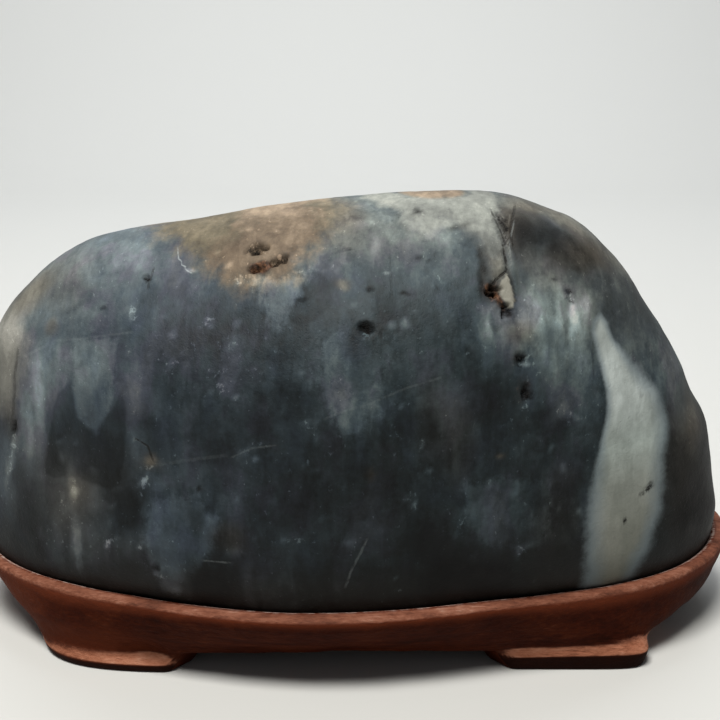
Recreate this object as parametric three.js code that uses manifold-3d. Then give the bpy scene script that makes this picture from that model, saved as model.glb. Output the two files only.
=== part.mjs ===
// Viewing stone on its fitted tray: one water-worn stone, and one carved stand with four feet.
// Millimetres, +Z up, the stone's show face looks along -Y, the stand's feet rest on Z = 0.

import * as THREE from 'three';
import { mergeVertices } from 'three/addons/utils/BufferGeometryUtils.js';
import Module from 'manifold-3d';

const wasm = await Module();
wasm.setup();

// Driving dimensions of the stone
const STONE_MIDDLE_Z = 75;
const STONE_FRONT_REACH = 75.3;
const STONE_BACK_REACH = 62;
const STONE_HALF_LENGTH = 132;
const STONE_END_BOW = 5;
const SIDE_ROUNDING = 1.75;
const BASE_SQUARING = 3.1;
const BASE_SQUARING_POWER = 2.3;
const TOP_SQUARING = 0.6;
const SEAT_GAP = 0.35;

// Face-on outline of the stone: X and height of each turning point, anticlockwise from the right
const STONE_OUTLINE = [
  [132, 35], [130.3, 47], [128.4, 59], [125.3, 70.5], [119.8, 79], [115.5, 89], [108, 102],
  [101, 112], [94.5, 121.5], [87, 129.5], [79, 137], [67.5, 142.5], [54, 147], [37, 148],
  [19, 147], [0, 145.3], [-18.5, 143.6], [-35, 141.4], [-50, 139], [-64.5, 137], [-79.5, 135],
  [-95.5, 130], [-110, 119.5], [-122, 105.5], [-128, 88], [-132, 70.5], [-134, 52], [-134.5, 35],
  [-129, 22], [-113, 15], [-90, 12.6], [-62, 12], [-40, 12], [-18, 12], [0, 12], [18, 12],
  [40, 12], [62, 12], [90, 12.6], [111, 15], [126.5, 22],
];

// Broad swells (plus) and hollows (minus) of the two faces: X, height, half width, half height, rise
const FRONT_SWELLS = [
  [-48, 40, 38, 34, 3.6], [95, 60, 30, 45, -1.2], [40, 30, 30, 30, -1.2], [-5, 112, 34, 16, 1.2],
  [60, 118, 20, 18, 1.4], [-85, 95, 28, 24, 1.5], [20, 75, 26, 30, -1.4], [-20, 60, 16, 26, 0.9],
];
const BACK_SWELLS = [
  [-70, 70, 34, 40, 4.5], [-8, 100, 30, 26, -3], [38, 62, 40, 30, 5], [92, 88, 26, 30, -3],
  [-30, 34, 30, 18, -2], [4, 128, 40, 14, 2],
];

// Cells of the stone's skin along X, Y and Z
const STONE_CELLS = [28, 11, 15];
const STONE_GRID_HALF = [120, 50, 60];

// Worn pits: X, Y and height of the mouth, half width, half height, depth, turn in degrees
const PITS = [
  [-30.0, -34.1, 136.5, 3.6, 3.0, 2.6, 10],
  [-29.3, -42.7, 132.5, 3.3, 2.0, 3.2, -8],
  [-22.8, -41.9, 134.2, 3.4, 2.7, 2.4, 24],
  [43.1, -53.4, 127.7, 2.3, 3.6, 2.8, -18],
  [47.3, -56.0, 122.2, 2.6, 2.6, 3.2, 0],
  [4.1, -63.9, 119.5, 2.4, 2.2, 1.6, 0],
  [51.5, -60.4, 108.7, 2.2, 1.9, 1.6, 0],
  [52.7, -61.8, 98.5, 1.6, 3.6, 1.4, 0],
  [-112.1, -36.7, 77.0, 1.6, 2.2, 1.6, 0],
  [-64.5, -38.0, 128.1, 1.3, 2.6, 1.4, 20],
  [-48, 52, 92, 4.2, 3.2, 2.2, 15],
  [-41, 54, 84, 2.6, 2.2, 1.8, 0],
  [66, 50, 72, 3.4, 5.2, 2.2, -25],
  [12, 50, 112, 3.0, 2.2, 1.8, 0],
];

// Open fissure on the right shoulder: points along its bottom
const FISSURE = [
  [51.4, -8, 147.4], [51.4, -18, 145.8], [50.6, -31, 141.9], [48.3, -41.4, 137],
  [47.4, -48, 131.6], [47.2, -53, 126.2],
];
const FISSURE_HALF_WIDTH = 1.5;
const FISSURE_DEPTH = 1.7;
const FISSURE_OVERLAP = 0.85;

// Driving dimensions of the stand
const RIM_Z = 28.5;
const RIM_WIDTH = 5.4;
const UNDERSIDE_Z = 7.4;
const FOOT_RING_WIDTH = 11;
const STAND_CENTRE = [-3, -6];
const BASE_RIGHT_LENGTH = 102.5;
const BASE_LEFT_LENGTH = 104.4;
const BASE_HALF_DEPTH = 57;
const BASE_DEPTH_TAPER = 0.025;
const RIGHT_CORNER_SQUARENESS = 24;
const LEFT_CORNER_SQUARENESS = 5.5;
const LEFT_FOOT_SCOOP = 1.6;
const LIP_Z = 4.4;
const SCOOP_TOP_Z = 18;
const STAND_STEPS = [40, 20];

// Where each foot begins and ends, in degrees around the stand's centre from +X
const FEET = [
  [-47.5, -13],
  [13, 47.5],
  [132.6, 167],
  [193, 227.4],
];
const FOOT_END_BLEND = 2.2;
const LEAST_STEP = 1.3;

// The wall takes its end shape between these cosines of the direction from the stand's centre
const END_STARTS = 0.72;
const END_IS_FULL = 0.9;
const END_INSET_SHARE = 0.3;

// Section of the stand from the lid of the seat, over the rim, down the wall and under the foot:
// share of the way from the base outline (0) to the rim outline (1) along the front, at the left
// end and at the right end, then inset and height on a foot, then inset and height on an arch.
const SECTION = [
  [1, 1, 1, 40, RIM_Z, 40, RIM_Z],
  [1, 1, 1, 2, RIM_Z, 2, RIM_Z],
  [1, 1, 1, 0.7, RIM_Z - 0.5, 0.7, RIM_Z - 0.5],
  [1, 1, 1, 0, RIM_Z - 1.9, 0, RIM_Z - 1.9],
  [0.95, 0.91, 0.97, 0, 24, 0, 24],
  [0.75, 0.76, 0.92, 0, 19.5, 0, 19.5],
  [0.45, 0.65, 0.87, 0.4, 14.5, 0, 14.5],
  [0.1, 0.49, 0.77, 2.2, 10, 0, 10.2],
  [0, 0.4, 0.64, 2.6, 7.8, 0.3, 8.4],
  [0, 0.23, 0.39, 1.2, 5.8, 0.6, 7.8],
  [0, 0, 0, 0, LIP_Z, 1.1, UNDERSIDE_Z],
  [0, 0, 0, 0.2, 3.2, 1.8, UNDERSIDE_Z],
  [0, 0, 0, 1.4, 0, 3, UNDERSIDE_Z],
  [0, 0, 0, FOOT_RING_WIDTH, 0, FOOT_RING_WIDTH, UNDERSIDE_Z],
  [0, 0, 0, FOOT_RING_WIDTH + 2, UNDERSIDE_Z, FOOT_RING_WIDTH + 2, UNDERSIDE_Z],
];

const degrees = THREE.MathUtils.radToDeg;
const radians = THREE.MathUtils.degToRad;

// Outline radius around the stone's middle, a smooth closed curve through the outline points
const outlineKnots = STONE_OUTLINE
  .map(([x, z]) => ({
    angle: (degrees(Math.atan2(z - STONE_MIDDLE_Z, x)) + 360) % 360,
    radius: Math.hypot(x, z - STONE_MIDDLE_Z),
  }))
  .sort((a, b) => a.angle - b.angle);

function outlineKnot(index) {
  const count = outlineKnots.length;
  const lap = Math.floor(index / count);
  const knot = outlineKnots[index - lap * count];
  return { angle: knot.angle + lap * 360, radius: knot.radius };
}

function outlineRadius(angle) {
  const turned = (angle + 720) % 360;
  const i = outlineKnots.findLastIndex((knot) => knot.angle <= turned);
  const before = outlineKnot(i - 1);
  const start = outlineKnot(i);
  const end = outlineKnot(i + 1);
  const after = outlineKnot(i + 2);
  const span = end.angle - start.angle;
  const startSlope = (end.radius - before.radius) / (end.angle - before.angle);
  const endSlope = (after.radius - start.radius) / (after.angle - start.angle);
  const t = (turned - start.angle) / span;
  return (2 * t ** 3 - 3 * t ** 2 + 1) * start.radius
    + (t ** 3 - 2 * t ** 2 + t) * span * startSlope
    + (3 * t ** 2 - 2 * t ** 3) * end.radius
    + (t ** 3 - t ** 2) * span * endSlope;
}

// How far out a point lies between the stone's middle (0) and its skin (1). The depth follows
// (radius / outline)^n + (depth / reach)^n = 1, and n is larger, so squarer, towards the base.
function stoneGauge(x, y, z) {
  const radius = Math.max(Math.hypot(x, z), 1e-6);
  const rise = z / radius;
  const n = SIDE_ROUNDING
    + BASE_SQUARING * Math.max(0, -rise) ** BASE_SQUARING_POWER
    + TOP_SQUARING * Math.max(0, rise) ** 2;
  const reach = y < 0 ? STONE_FRONT_REACH : STONE_BACK_REACH;
  const outline = outlineRadius(degrees(Math.atan2(z, x)));
  return ((radius / outline) ** n + (Math.abs(y) / reach) ** n) ** (1 / n);
}

function swell(swells, x, z) {
  let rise = 0;
  for (const [midX, midZ, halfWidth, halfHeight, height] of swells) {
    rise += height * Math.exp(-(((x - midX) / halfWidth) ** 2) - ((z - midZ) / halfHeight) ** 2);
  }
  return rise;
}

function faceScale(x, y, z) {
  return y < 0
    ? 1 + swell(FRONT_SWELLS, x, z) / STONE_FRONT_REACH
    : 1 + swell(BACK_SWELLS, x, z) / STONE_BACK_REACH;
}

function stoneSkinPoint(direction) {
  const gauge = stoneGauge(direction.x, direction.y, direction.z);
  const point = direction.clone().divideScalar(gauge);
  point.z += STONE_MIDDLE_Z;
  point.y = point.y * faceScale(point.x, point.y, point.z) - endBow(point.x);
  return point;
}

// Both ends of the stone curl forwards a little
function endBow(x) {
  return STONE_END_BOW * (x / STONE_HALF_LENGTH) ** 2;
}

// The point of the skin that lies in line with a listed point, seen from the stone's middle
function settleOnSkin([x, y, z]) {
  return stoneSkinPoint(new THREE.Vector3(x, y + endBow(x), z - STONE_MIDDLE_Z));
}

function isInsideStone(x, y, z) {
  const straightY = y + endBow(x);
  return stoneGauge(x, straightY / faceScale(x, straightY, z), z - STONE_MIDDLE_Z) < 1;
}

// Makes one indexed geometry, with shared corners, from a list of points and triangles
function closedGeometry(points, triangles) {
  const geometry = new THREE.BufferGeometry();
  const coordinates = points.flatMap((point) => point.toArray());
  geometry.setAttribute('position', new THREE.Float32BufferAttribute(coordinates, 3));
  geometry.setIndex(triangles.flat());
  return mergeVertices(geometry, 1e-4);
}

function toSolid(geometry) {
  const merged = geometry.index && !geometry.attributes.uv ? geometry : bareGeometry(geometry);
  return new wasm.Manifold(new wasm.Mesh({
    numProp: 3,
    vertProperties: new Float32Array(merged.attributes.position.array),
    triVerts: new Uint32Array(merged.index.array),
  }));
}

function bareGeometry(geometry) {
  const bare = geometry.clone();
  bare.deleteAttribute('normal');
  bare.deleteAttribute('uv');
  return mergeVertices(bare, 1e-4);
}

function fromSolid(solid) {
  const mesh = solid.getMesh();
  const geometry = new THREE.BufferGeometry();
  geometry.setAttribute('position', new THREE.BufferAttribute(mesh.vertProperties, 3));
  geometry.setIndex(new THREE.BufferAttribute(mesh.triVerts, 1));
  return geometry;
}

// The stone's skin: a grid on the six sides of a box, each grid point pushed out to the skin
function stoneSkin() {
  const sides = [
    [0, 2, 1, -1], [0, 2, 1, 1], [0, 1, 2, -1], [0, 1, 2, 1], [1, 2, 0, -1], [1, 2, 0, 1],
  ];
  const points = [];
  const triangles = [];
  for (const [u, v, w, side] of sides) {
    const first = points.length;
    const columns = STONE_CELLS[u];
    const rows = STONE_CELLS[v];
    const flipped = (u === 0 && v === 2) === side > 0;
    for (let i = 0; i <= columns; i++) {
      for (let j = 0; j <= rows; j++) {
        const direction = new THREE.Vector3();
        direction.setComponent(u, (2 * i / columns - 1) * STONE_GRID_HALF[u]);
        direction.setComponent(v, (2 * j / rows - 1) * STONE_GRID_HALF[v]);
        direction.setComponent(w, side * STONE_GRID_HALF[w]);
        points.push(stoneSkinPoint(direction));
      }
    }
    for (let i = 0; i < columns; i++) {
      for (let j = 0; j < rows; j++) {
        const a = first + i * (rows + 1) + j;
        const b = a + rows + 1;
        const quad = flipped ? [[a, a + 1, b + 1], [a, b + 1, b]] : [[a, b + 1, a + 1], [a, b, b + 1]];
        triangles.push(...quad);
      }
    }
  }
  return closedGeometry(points, triangles);
}

// The same skin moved outwards along its normals, for the seat carved into the stand
function grownSkin(skin, distance) {
  const grown = skin.clone();
  grown.computeVertexNormals();
  const position = grown.attributes.position;
  const normal = grown.attributes.normal;
  for (let i = 0; i < position.count; i++) {
    position.setXYZ(
      i,
      position.getX(i) + distance * normal.getX(i),
      position.getY(i) + distance * normal.getY(i),
      position.getZ(i) + distance * normal.getZ(i),
    );
  }
  grown.deleteAttribute('normal');
  return grown;
}

// A direction straight out of the stone, good enough to aim a scoop with
function outwardAt(point) {
  return new THREE.Vector3(point.x * 0.25, point.y, (point.z - STONE_MIDDLE_Z) * 0.7).normalize();
}

function turnFromZ(direction) {
  return new THREE.Quaternion().setFromUnitVectors(new THREE.Vector3(0, 0, 1), direction);
}

// A rounded lump centred on the stone's skin, turned to face outwards, that scoops out one pit
function pitCutter([x, y, z, halfWidth, halfHeight, depth, turn]) {
  const mouth = settleOnSkin([x, y, z]);
  const lump = new THREE.IcosahedronGeometry(1, 1);
  lump.scale(halfWidth, halfHeight, depth);
  lump.rotateZ(radians(turn));
  lump.applyQuaternion(turnFromZ(outwardAt(mouth)));
  lump.translate(mouth.x, mouth.y, mouth.z);
  return toSolid(lump);
}

// A long eight-sided splinter from one point of the fissure to the next
function fissureCutter(start, end) {
  const from = settleOnSkin(start);
  const to = settleOnSkin(end);
  const middle = from.clone().add(to).multiplyScalar(0.5);
  const along = to.clone().sub(from);
  const splinter = new THREE.OctahedronGeometry(1, 0);
  splinter.scale(FISSURE_HALF_WIDTH, FISSURE_DEPTH, along.length() * FISSURE_OVERLAP);
  splinter.applyQuaternion(turnFromZ(along.normalize()));
  splinter.translate(middle.x, middle.y, middle.z);
  return toSolid(splinter);
}

function stoneSolid(skin) {
  let solid = toSolid(skin);
  for (const pit of PITS) {
    solid = solid.subtract(pitCutter(pit));
  }
  for (let i = 0; i + 1 < FISSURE.length; i++) {
    solid = solid.subtract(fissureCutter(FISSURE[i], FISSURE[i + 1]));
  }
  return solid;
}

// Distance from the stand's centre to the stone's skin at the rim's height, by halving
function stoneEdgeRadius(angle) {
  let inside = 0;
  let outside = 200;
  while (outside - inside > 0.01) {
    const middle = (inside + outside) / 2;
    const x = STAND_CENTRE[0] + middle * Math.cos(angle);
    const y = STAND_CENTRE[1] + middle * Math.sin(angle);
    if (isInsideStone(x, y, RIM_Z)) {
      inside = middle;
    } else {
      outside = middle;
    }
  }
  return inside;
}

// Rounded rectangle under the stand: |x / length|^n + |y / depth|^n = 1, with a sharper corner
// at the right end, and a little deeper at the left end
function baseRadius(angle) {
  const toRight = Math.cos(angle) > 0;
  const n = toRight ? RIGHT_CORNER_SQUARENESS : LEFT_CORNER_SQUARENESS;
  const length = toRight ? BASE_RIGHT_LENGTH : BASE_LEFT_LENGTH;
  const depth = BASE_HALF_DEPTH * (1 - BASE_DEPTH_TAPER * Math.cos(angle));
  const lengthPart = Math.abs(Math.cos(angle) / length) ** n;
  const depthPart = Math.abs(Math.sin(angle) / depth) ** n;
  return (lengthPart + depthPart) ** (-1 / n);
}

// 1 on a foot, 0 on an arch, with a short blend between the two
function footShare(angle) {
  const turned = (degrees(angle) + 360) % 360;
  let share = 0;
  for (const [start, end] of FEET) {
    const middle = (start + end) / 2;
    const half = (end - start) / 2;
    const away = Math.abs(((turned - middle + 540) % 360) - 180);
    share = Math.max(share, 1 - THREE.MathUtils.smoothstep(away, half - FOOT_END_BLEND, half));
  }
  return share;
}

// Directions from the stand's centre to points evenly spaced around the rectangle of its base,
// moved on to the ends of the feet where one falls close to them
function standAngles() {
  const [longSteps, shortSteps] = STAND_STEPS;
  const corners = [[1, -1], [1, 1], [-1, 1], [-1, -1], [1, -1]];
  const even = [];
  for (let side = 0; side < 4; side++) {
    const [fromX, fromY] = corners[side];
    const [toX, toY] = corners[side + 1];
    const steps = side % 2 ? longSteps : shortSteps;
    for (let i = 0; i < steps; i++) {
      const x = BASE_LEFT_LENGTH * THREE.MathUtils.lerp(fromX, toX, i / steps);
      const y = BASE_HALF_DEPTH * THREE.MathUtils.lerp(fromY, toY, i / steps);
      even.push((degrees(Math.atan2(y, x)) + 360) % 360);
    }
  }
  const footEnds = FEET
    .flatMap(([start, end]) => [start, start + FOOT_END_BLEND, end - FOOT_END_BLEND, end])
    .map((end) => (end + 360) % 360);
  const clear = even.filter((angle) => footEnds.every((end) => Math.abs(angle - end) > LEAST_STEP));
  return [...clear, ...footEnds].sort((a, b) => a - b).map(radians);
}

// How far a line of the section is set in. The left feet are scooped out deeper above their lip,
// and the scoop runs out towards both ends of the stand.
function wallInset(footInset, archInset, angle, onFoot, onEnd) {
  const scoop = Math.cos(angle) < 0 ? LEFT_FOOT_SCOOP : 1;
  const scooped = footInset * scoop * THREE.MathUtils.lerp(1, END_INSET_SHARE, onEnd);
  return THREE.MathUtils.lerp(archInset, scooped, onFoot);
}

// One corner of the stand's body, for a direction from its centre and a line of the section
function standPoint(angle, rimRadius, line) {
  const [frontReach, leftReach, rightReach, footInset, footZ, archInset, archZ] = line;
  const endReach = Math.cos(angle) < 0 ? leftReach : rightReach;
  const onFoot = footShare(angle);
  const onEnd = THREE.MathUtils.smoothstep(Math.abs(Math.cos(angle)), END_STARTS, END_IS_FULL);
  const reach = THREE.MathUtils.lerp(frontReach, endReach, onEnd);
  const isWall = footZ > LIP_Z && footZ < SCOOP_TOP_Z;
  const inset = isWall
    ? wallInset(footInset, archInset, angle, onFoot, onEnd)
    : THREE.MathUtils.lerp(archInset, footInset, onFoot);
  const radius = THREE.MathUtils.lerp(baseRadius(angle), rimRadius, reach) - inset;
  return new THREE.Vector3(
    STAND_CENTRE[0] + radius * Math.cos(angle),
    STAND_CENTRE[1] + radius * Math.sin(angle),
    THREE.MathUtils.lerp(archZ, footZ, onFoot),
  );
}

function standBody() {
  const rings = SECTION.length;
  const angles = standAngles();
  const points = [];
  const triangles = [];
  for (const angle of angles) {
    const rimRadius = stoneEdgeRadius(angle) + SEAT_GAP + RIM_WIDTH;
    points.push(...SECTION.map((line) => standPoint(angle, rimRadius, line)));
  }
  const lid = points.length;
  points.push(new THREE.Vector3(STAND_CENTRE[0], STAND_CENTRE[1], RIM_Z));
  const floor = points.length;
  points.push(new THREE.Vector3(STAND_CENTRE[0], STAND_CENTRE[1], UNDERSIDE_Z));
  for (let i = 0; i < angles.length; i++) {
    const here = i * rings;
    const next = ((i + 1) % angles.length) * rings;
    triangles.push([lid, here, next]);
    triangles.push([floor, next + rings - 1, here + rings - 1]);
    for (let j = 0; j + 1 < rings; j++) {
      triangles.push([here + j, here + j + 1, next + j + 1]);
      triangles.push([here + j, next + j + 1, next + j]);
    }
  }
  return closedGeometry(points, triangles);
}

const stoneMaterial = new THREE.MeshStandardMaterial({ color: 0x3b4347, roughness: 0.55, metalness: 0 });
const standMaterial = new THREE.MeshStandardMaterial({ color: 0x7a3f2a, roughness: 0.7, metalness: 0 });

const skin = stoneSkin();
const stone = new THREE.Mesh(fromSolid(stoneSolid(skin)), stoneMaterial);
stone.name = 'stone';

const seat = toSolid(grownSkin(skin, SEAT_GAP));
const stand = new THREE.Mesh(fromSolid(toSolid(standBody()).subtract(seat)), standMaterial);
stand.name = 'stand';

// The origin lies under the middle of the whole piece, on the surface that the feet stand on
const suiseki = new THREE.Group();
suiseki.add(stone, stand);
const middle = new THREE.Box3().setFromObject(suiseki).getCenter(new THREE.Vector3());
suiseki.position.set(-middle.x, -middle.y, 0);

export default suiseki;
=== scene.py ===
"""A water-worn viewing stone on its carved stand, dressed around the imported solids.

Lengths in this script are millimetres in the frame of the solids, and metres only in Blender:
+X runs along the stone to the right, -Y is its show face, +Z is up, the feet stand on Z = 0.
"""

import functools
import itertools
import math

import bpy
import numpy as np
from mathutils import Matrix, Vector


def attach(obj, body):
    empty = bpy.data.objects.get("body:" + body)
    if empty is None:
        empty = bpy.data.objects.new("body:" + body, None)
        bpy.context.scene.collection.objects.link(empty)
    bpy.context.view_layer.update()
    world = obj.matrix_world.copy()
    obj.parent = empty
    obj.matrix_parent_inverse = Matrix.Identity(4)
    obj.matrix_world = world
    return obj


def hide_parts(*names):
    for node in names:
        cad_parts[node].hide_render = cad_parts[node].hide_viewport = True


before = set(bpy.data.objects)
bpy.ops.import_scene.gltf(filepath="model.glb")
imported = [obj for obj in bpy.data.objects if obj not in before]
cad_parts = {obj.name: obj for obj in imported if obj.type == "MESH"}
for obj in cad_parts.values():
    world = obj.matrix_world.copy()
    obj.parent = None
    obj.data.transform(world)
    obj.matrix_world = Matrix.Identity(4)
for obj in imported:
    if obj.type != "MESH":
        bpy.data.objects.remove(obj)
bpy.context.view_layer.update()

MM = 0.001
FAR = 1e9
UP = np.array([0, 0, 1.0])

# Where the solids' own lists have their origin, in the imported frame
LIST_ORIGIN = np.array([1.2330, 6.2695, 0.0])

# The stone's form, as in the solids, and the space between it and the stand
STONE_MIDDLE_Z = 75.0
STONE_FRONT_REACH = 75.3
STONE_BACK_REACH = 62.0
STONE_HALF_LENGTH = 132.0
STONE_END_BOW = 5.0
SIDE_ROUNDING = 1.75
BASE_SQUARING = 3.1
BASE_SQUARING_POWER = 2.3
TOP_SQUARING = 0.6
SEAT_GAP = 0.35
BRIM_GAP = 0.1

# Face-on outline of the stone: X and height of each turning point
STONE_OUTLINE = [
    (132, 35), (130.3, 47), (128.4, 59), (125.3, 70.5), (119.8, 79), (115.5, 89), (108, 102),
    (101, 112), (94.5, 121.5), (87, 129.5), (79, 137), (67.5, 142.5), (54, 147), (37, 148),
    (19, 147), (0, 145.3), (-18.5, 143.6), (-35, 141.4), (-50, 139), (-64.5, 137), (-79.5, 135),
    (-95.5, 130), (-110, 119.5), (-122, 105.5), (-128, 88), (-132, 70.5), (-134, 52),
    (-134.5, 35), (-129, 22), (-113, 15), (-90, 12.6), (-62, 12), (-40, 12), (-18, 12), (0, 12),
    (18, 12), (40, 12), (62, 12), (90, 12.6), (111, 15), (126.5, 22),
]

# Broad swells of the two faces: X, height, half width, half height, rise
FRONT_SWELLS = [
    (-48, 40, 38, 34, 3.6), (95, 60, 30, 45, -1.2), (40, 30, 30, 30, -1.2),
    (-5, 112, 34, 16, 1.2), (60, 118, 20, 18, 1.4), (-85, 95, 28, 24, 1.5),
    (20, 75, 26, 30, -1.4), (-20, 60, 16, 26, 0.9),
]
BACK_SWELLS = [
    (-70, 70, 34, 40, 4.5), (-8, 100, 30, 26, -3), (38, 62, 40, 30, 5), (92, 88, 26, 30, -3),
    (-30, 34, 30, 18, -2), (4, 128, 40, 14, 2),
]

# Worn pits: X, Y and height of the mouth, half width, half height, depth, turn in degrees
PITS = [
    (-30, -34.1, 136.5, 3.6, 3, 2.6, 10), (-29.3, -42.7, 132.5, 3.3, 2, 3.2, -8),
    (-22.8, -41.9, 134.2, 3.4, 2.7, 2.4, 24), (43.1, -53.4, 127.7, 2.3, 3.6, 2.8, -18),
    (47.3, -56, 122.2, 2.6, 2.6, 3.2, 0), (4.1, -63.9, 119.5, 2.4, 2.2, 1.6, 0),
    (51.5, -60.4, 108.7, 2.2, 1.9, 1.6, 0), (52.7, -61.8, 98.5, 1.6, 3.6, 1.4, 0),
    (-112.1, -36.7, 77, 1.6, 2.2, 1.6, 0), (-64.5, -38, 128.1, 1.3, 2.6, 1.4, 20),
    (-48, 52, 92, 4.2, 3.2, 2.2, 15), (-41, 54, 84, 2.6, 2.2, 1.8, 0),
    (66, 50, 72, 3.4, 5.2, 2.2, -25), (12, 50, 112, 3, 2.2, 1.8, 0),
]

# The stand's form. LIP_HEIGHTS: the top of the feet's lip over the cosine of the direction.
# RUN_OUT: where the scoop over a foot's lip ends, before the arch. LIP_CORNER: how the lip
# rounds off towards the arch. END: cosines where the wall takes on its end shape.
RIM_Z = 29.2
RIM_WIDTH = 5.4
UNDERSIDE_Z = 7.4
FOOT_RING_WIDTH = 11.0
STAND_MIDDLE = np.array([-3.0, -6.0, 0.0]) + LIST_ORIGIN
BASE_RIGHT_LENGTH = 102.5
BASE_LEFT_LENGTH = 105.8
BASE_HALF_DEPTH = 57.0
BASE_DEPTH_TAPER = 0.025
RIGHT_CORNER_SQUARENESS = 24.0
LEFT_CORNER_SQUARENESS = 5.5
LEFT_FOOT_SCOOP = 1.7
RIGHT_FOOT_SCOOP = 0.7
LIP_Z = 4.4
LIP_HEIGHTS = ((-0.6, 0.6, 0.87), (3.3, 5.0, 6.2))
SCOOP_TOP_Z = 18.0
SCOOP_FROM_Z = 14.5
FEET = [(-47.5, -13), (13, 47.5), (132.6, 167), (193, 227.4)]
FOOT_END_BLEND = 3.4
LEFT_RUN_OUT = 14.0
RIGHT_RUN_OUT = 48.0
LIP_CORNER_WIDTH = 9.0
LIP_CORNER_DEPTH = 4.0
LIP_CORNER_TOP_Z = LIP_Z + 1.5
END_STARTS = 0.72
END_IS_FULL = 0.9
END_INSET_SHARE = 0.3

# Section of the stand: share of the way from base to rim outline along the front, at the left
# end and at the right end, then inset and height on a foot, then inset and height on an arch
SECTION = np.array([
    (1, 1, 1, 2, RIM_Z, 2, RIM_Z),
    (1, 1, 1, 0.7, RIM_Z - 0.5, 0.7, RIM_Z - 0.5),
    (1, 1, 1, 0, RIM_Z - 1.9, 0, RIM_Z - 1.9),
    (0.95, 0.91, 0.97, 0, 24, 0, 24),
    (0.75, 0.76, 0.92, 0, 19.5, 0, 19.5),
    (0.45, 0.65, 0.87, 0.6, SCOOP_FROM_Z, 0, 14.5),
    (0.1, 0.49, 0.75, 2.5, 10, 0, 10.2),
    (0, 0.4, 0.5, 3.1, 7.8, 0.3, 8.4),
    (0, 0.23, 0.14, 2.0, 5.8, 0.6, 7.8),
    (0, 0, 0, 0, LIP_Z, 1.1, UNDERSIDE_Z),
    (0, 0, 0, 0.2, 3.2, 1.8, UNDERSIDE_Z),
    (0, 0, 0, 1.4, 0, 3, UNDERSIDE_Z),
    (0, 0, 0, FOOT_RING_WIDTH, 0, FOOT_RING_WIDTH, UNDERSIDE_Z),
    (0, 0, 0, FOOT_RING_WIDTH + 2, UNDERSIDE_Z, FOOT_RING_WIDTH + 2, UNDERSIDE_Z),
], float)

# The stand's mesh: dips of the seat's rings below level in degrees; the brow, as the distance
# out from the brim and the drop below the rim; rows put between the corners of the section, the
# count of them down to the sole, and rings that close the underside
STAND_COLUMNS = 680
SEAT_DIPS = [84, 76, 68, 60, 52, 44, 36, 29, 23, 18, 14, 11, 8.5, 6.5, 4.5, 3, 1.6]
BROW = [(0, 0.8), (0.25, 0.25), (0.9, 0)]
ROW_STEPS = [1, 1, 4, 3, 3, 5, 8, 9, 8, 5, 4, 4, 3, 5, 14, 10]
STEPS_TO_SOLE = 14
ROUNDING_PASSES = 3
CLOSING_SHARES = np.linspace(0.85, 0.1, 8)

# Layers of noise, each with its height in mm, its size in mm and its seed
STONE_RELIEF = [(0.35, 26, 1), (0.16, 11, 2), (0.10, 5, 3), (0.05, 2.4, 4)]
PIT_EDGE = [(0.4, 2.2, 11), (0.3, 1.2, 12)]
PIT_FLOOR = [(2.4, 1.5, 13)]
WARP_S = [(0.9, (4, 4, 11), 21), (0.45, (1.8, 1.8, 4), 22)]
WARP_T = [(1.1, (5, 5, 9), 23), (0.5, 2.2, 24)]
FINE_WARP_S = [(0.35, 1.6, 25)]
FINE_WARP_T = [(0.35, 1.6, 26)]
CREAM_DEPTH = [(14, 18, 27)]
CREAM_HEIGHT = [(12, 15, 28)]
KNIFE_WAVES = [(0.30, (16, 16, 9), 31), (0.16, (6, 6, 4), 32), (0.06, 2.2, 33)]


def to_linear(hex_code):
    """sRGB hex to the linear colour that a shader takes: ((c + 0.055) / 1.055) ^ 2.4."""
    channels = np.array([int(hex_code[i:i + 2], 16) for i in (1, 3, 5)]) / 255
    linear = np.where(channels <= 0.04045, channels / 12.92, ((channels + 0.055) / 1.055) ** 2.4)
    return (*linear.tolist(), 1.0)


def smooth(x, low, high):
    """0 below low, 1 above high, 3t^2 - 2t^3 between."""
    t = np.clip((x - low) / (high - low), 0, 1)
    return t * t * (3 - 2 * t)


def lerp(a, b, t):
    """a where t is 0, b where t is 1, straight in between."""
    return a + (b - a) * t


def grain(points, size, seed):
    """Soft noise from -1 to 1: random values at the corners of a lattice with the given spacing
    in mm (one number, or one per axis), blended inside each cell by t^3(6t^2 - 15t + 10)."""
    period = 64
    table = np.random.default_rng(seed).uniform(-1, 1, (period, period, period))
    place = points / np.asarray(size, float) + 1000.0
    cell = np.floor(place).astype(int)
    t = place - cell
    t = t * t * t * (t * (t * 6 - 15) + 10)
    total = 0.0
    for corner in itertools.product((0, 1), repeat=3):
        weight = np.prod(np.where(corner, t, 1 - t), axis=-1)
        total = total + weight * table[tuple(np.moveaxis((cell + corner) % period, -1, 0))]
    return total


def waves(points, layers):
    """Sum of layers of grain, each given as height, size and seed."""
    return sum(height * grain(points, size, seed) for height, size, seed in layers)


def vertex_normals(points, quads):
    """Unit normals at the points: the sum of the cross products of the quads' diagonals."""
    a, b, c, d = (points[quads[:, k]] for k in range(4))
    face = np.cross(c - a, d - b)
    total = np.zeros_like(points)
    for k in range(4):
        for axis in range(3):
            total[:, axis] += np.bincount(quads[:, k], face[:, axis], len(points))
    return total / np.linalg.norm(total, axis=1, keepdims=True)


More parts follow.
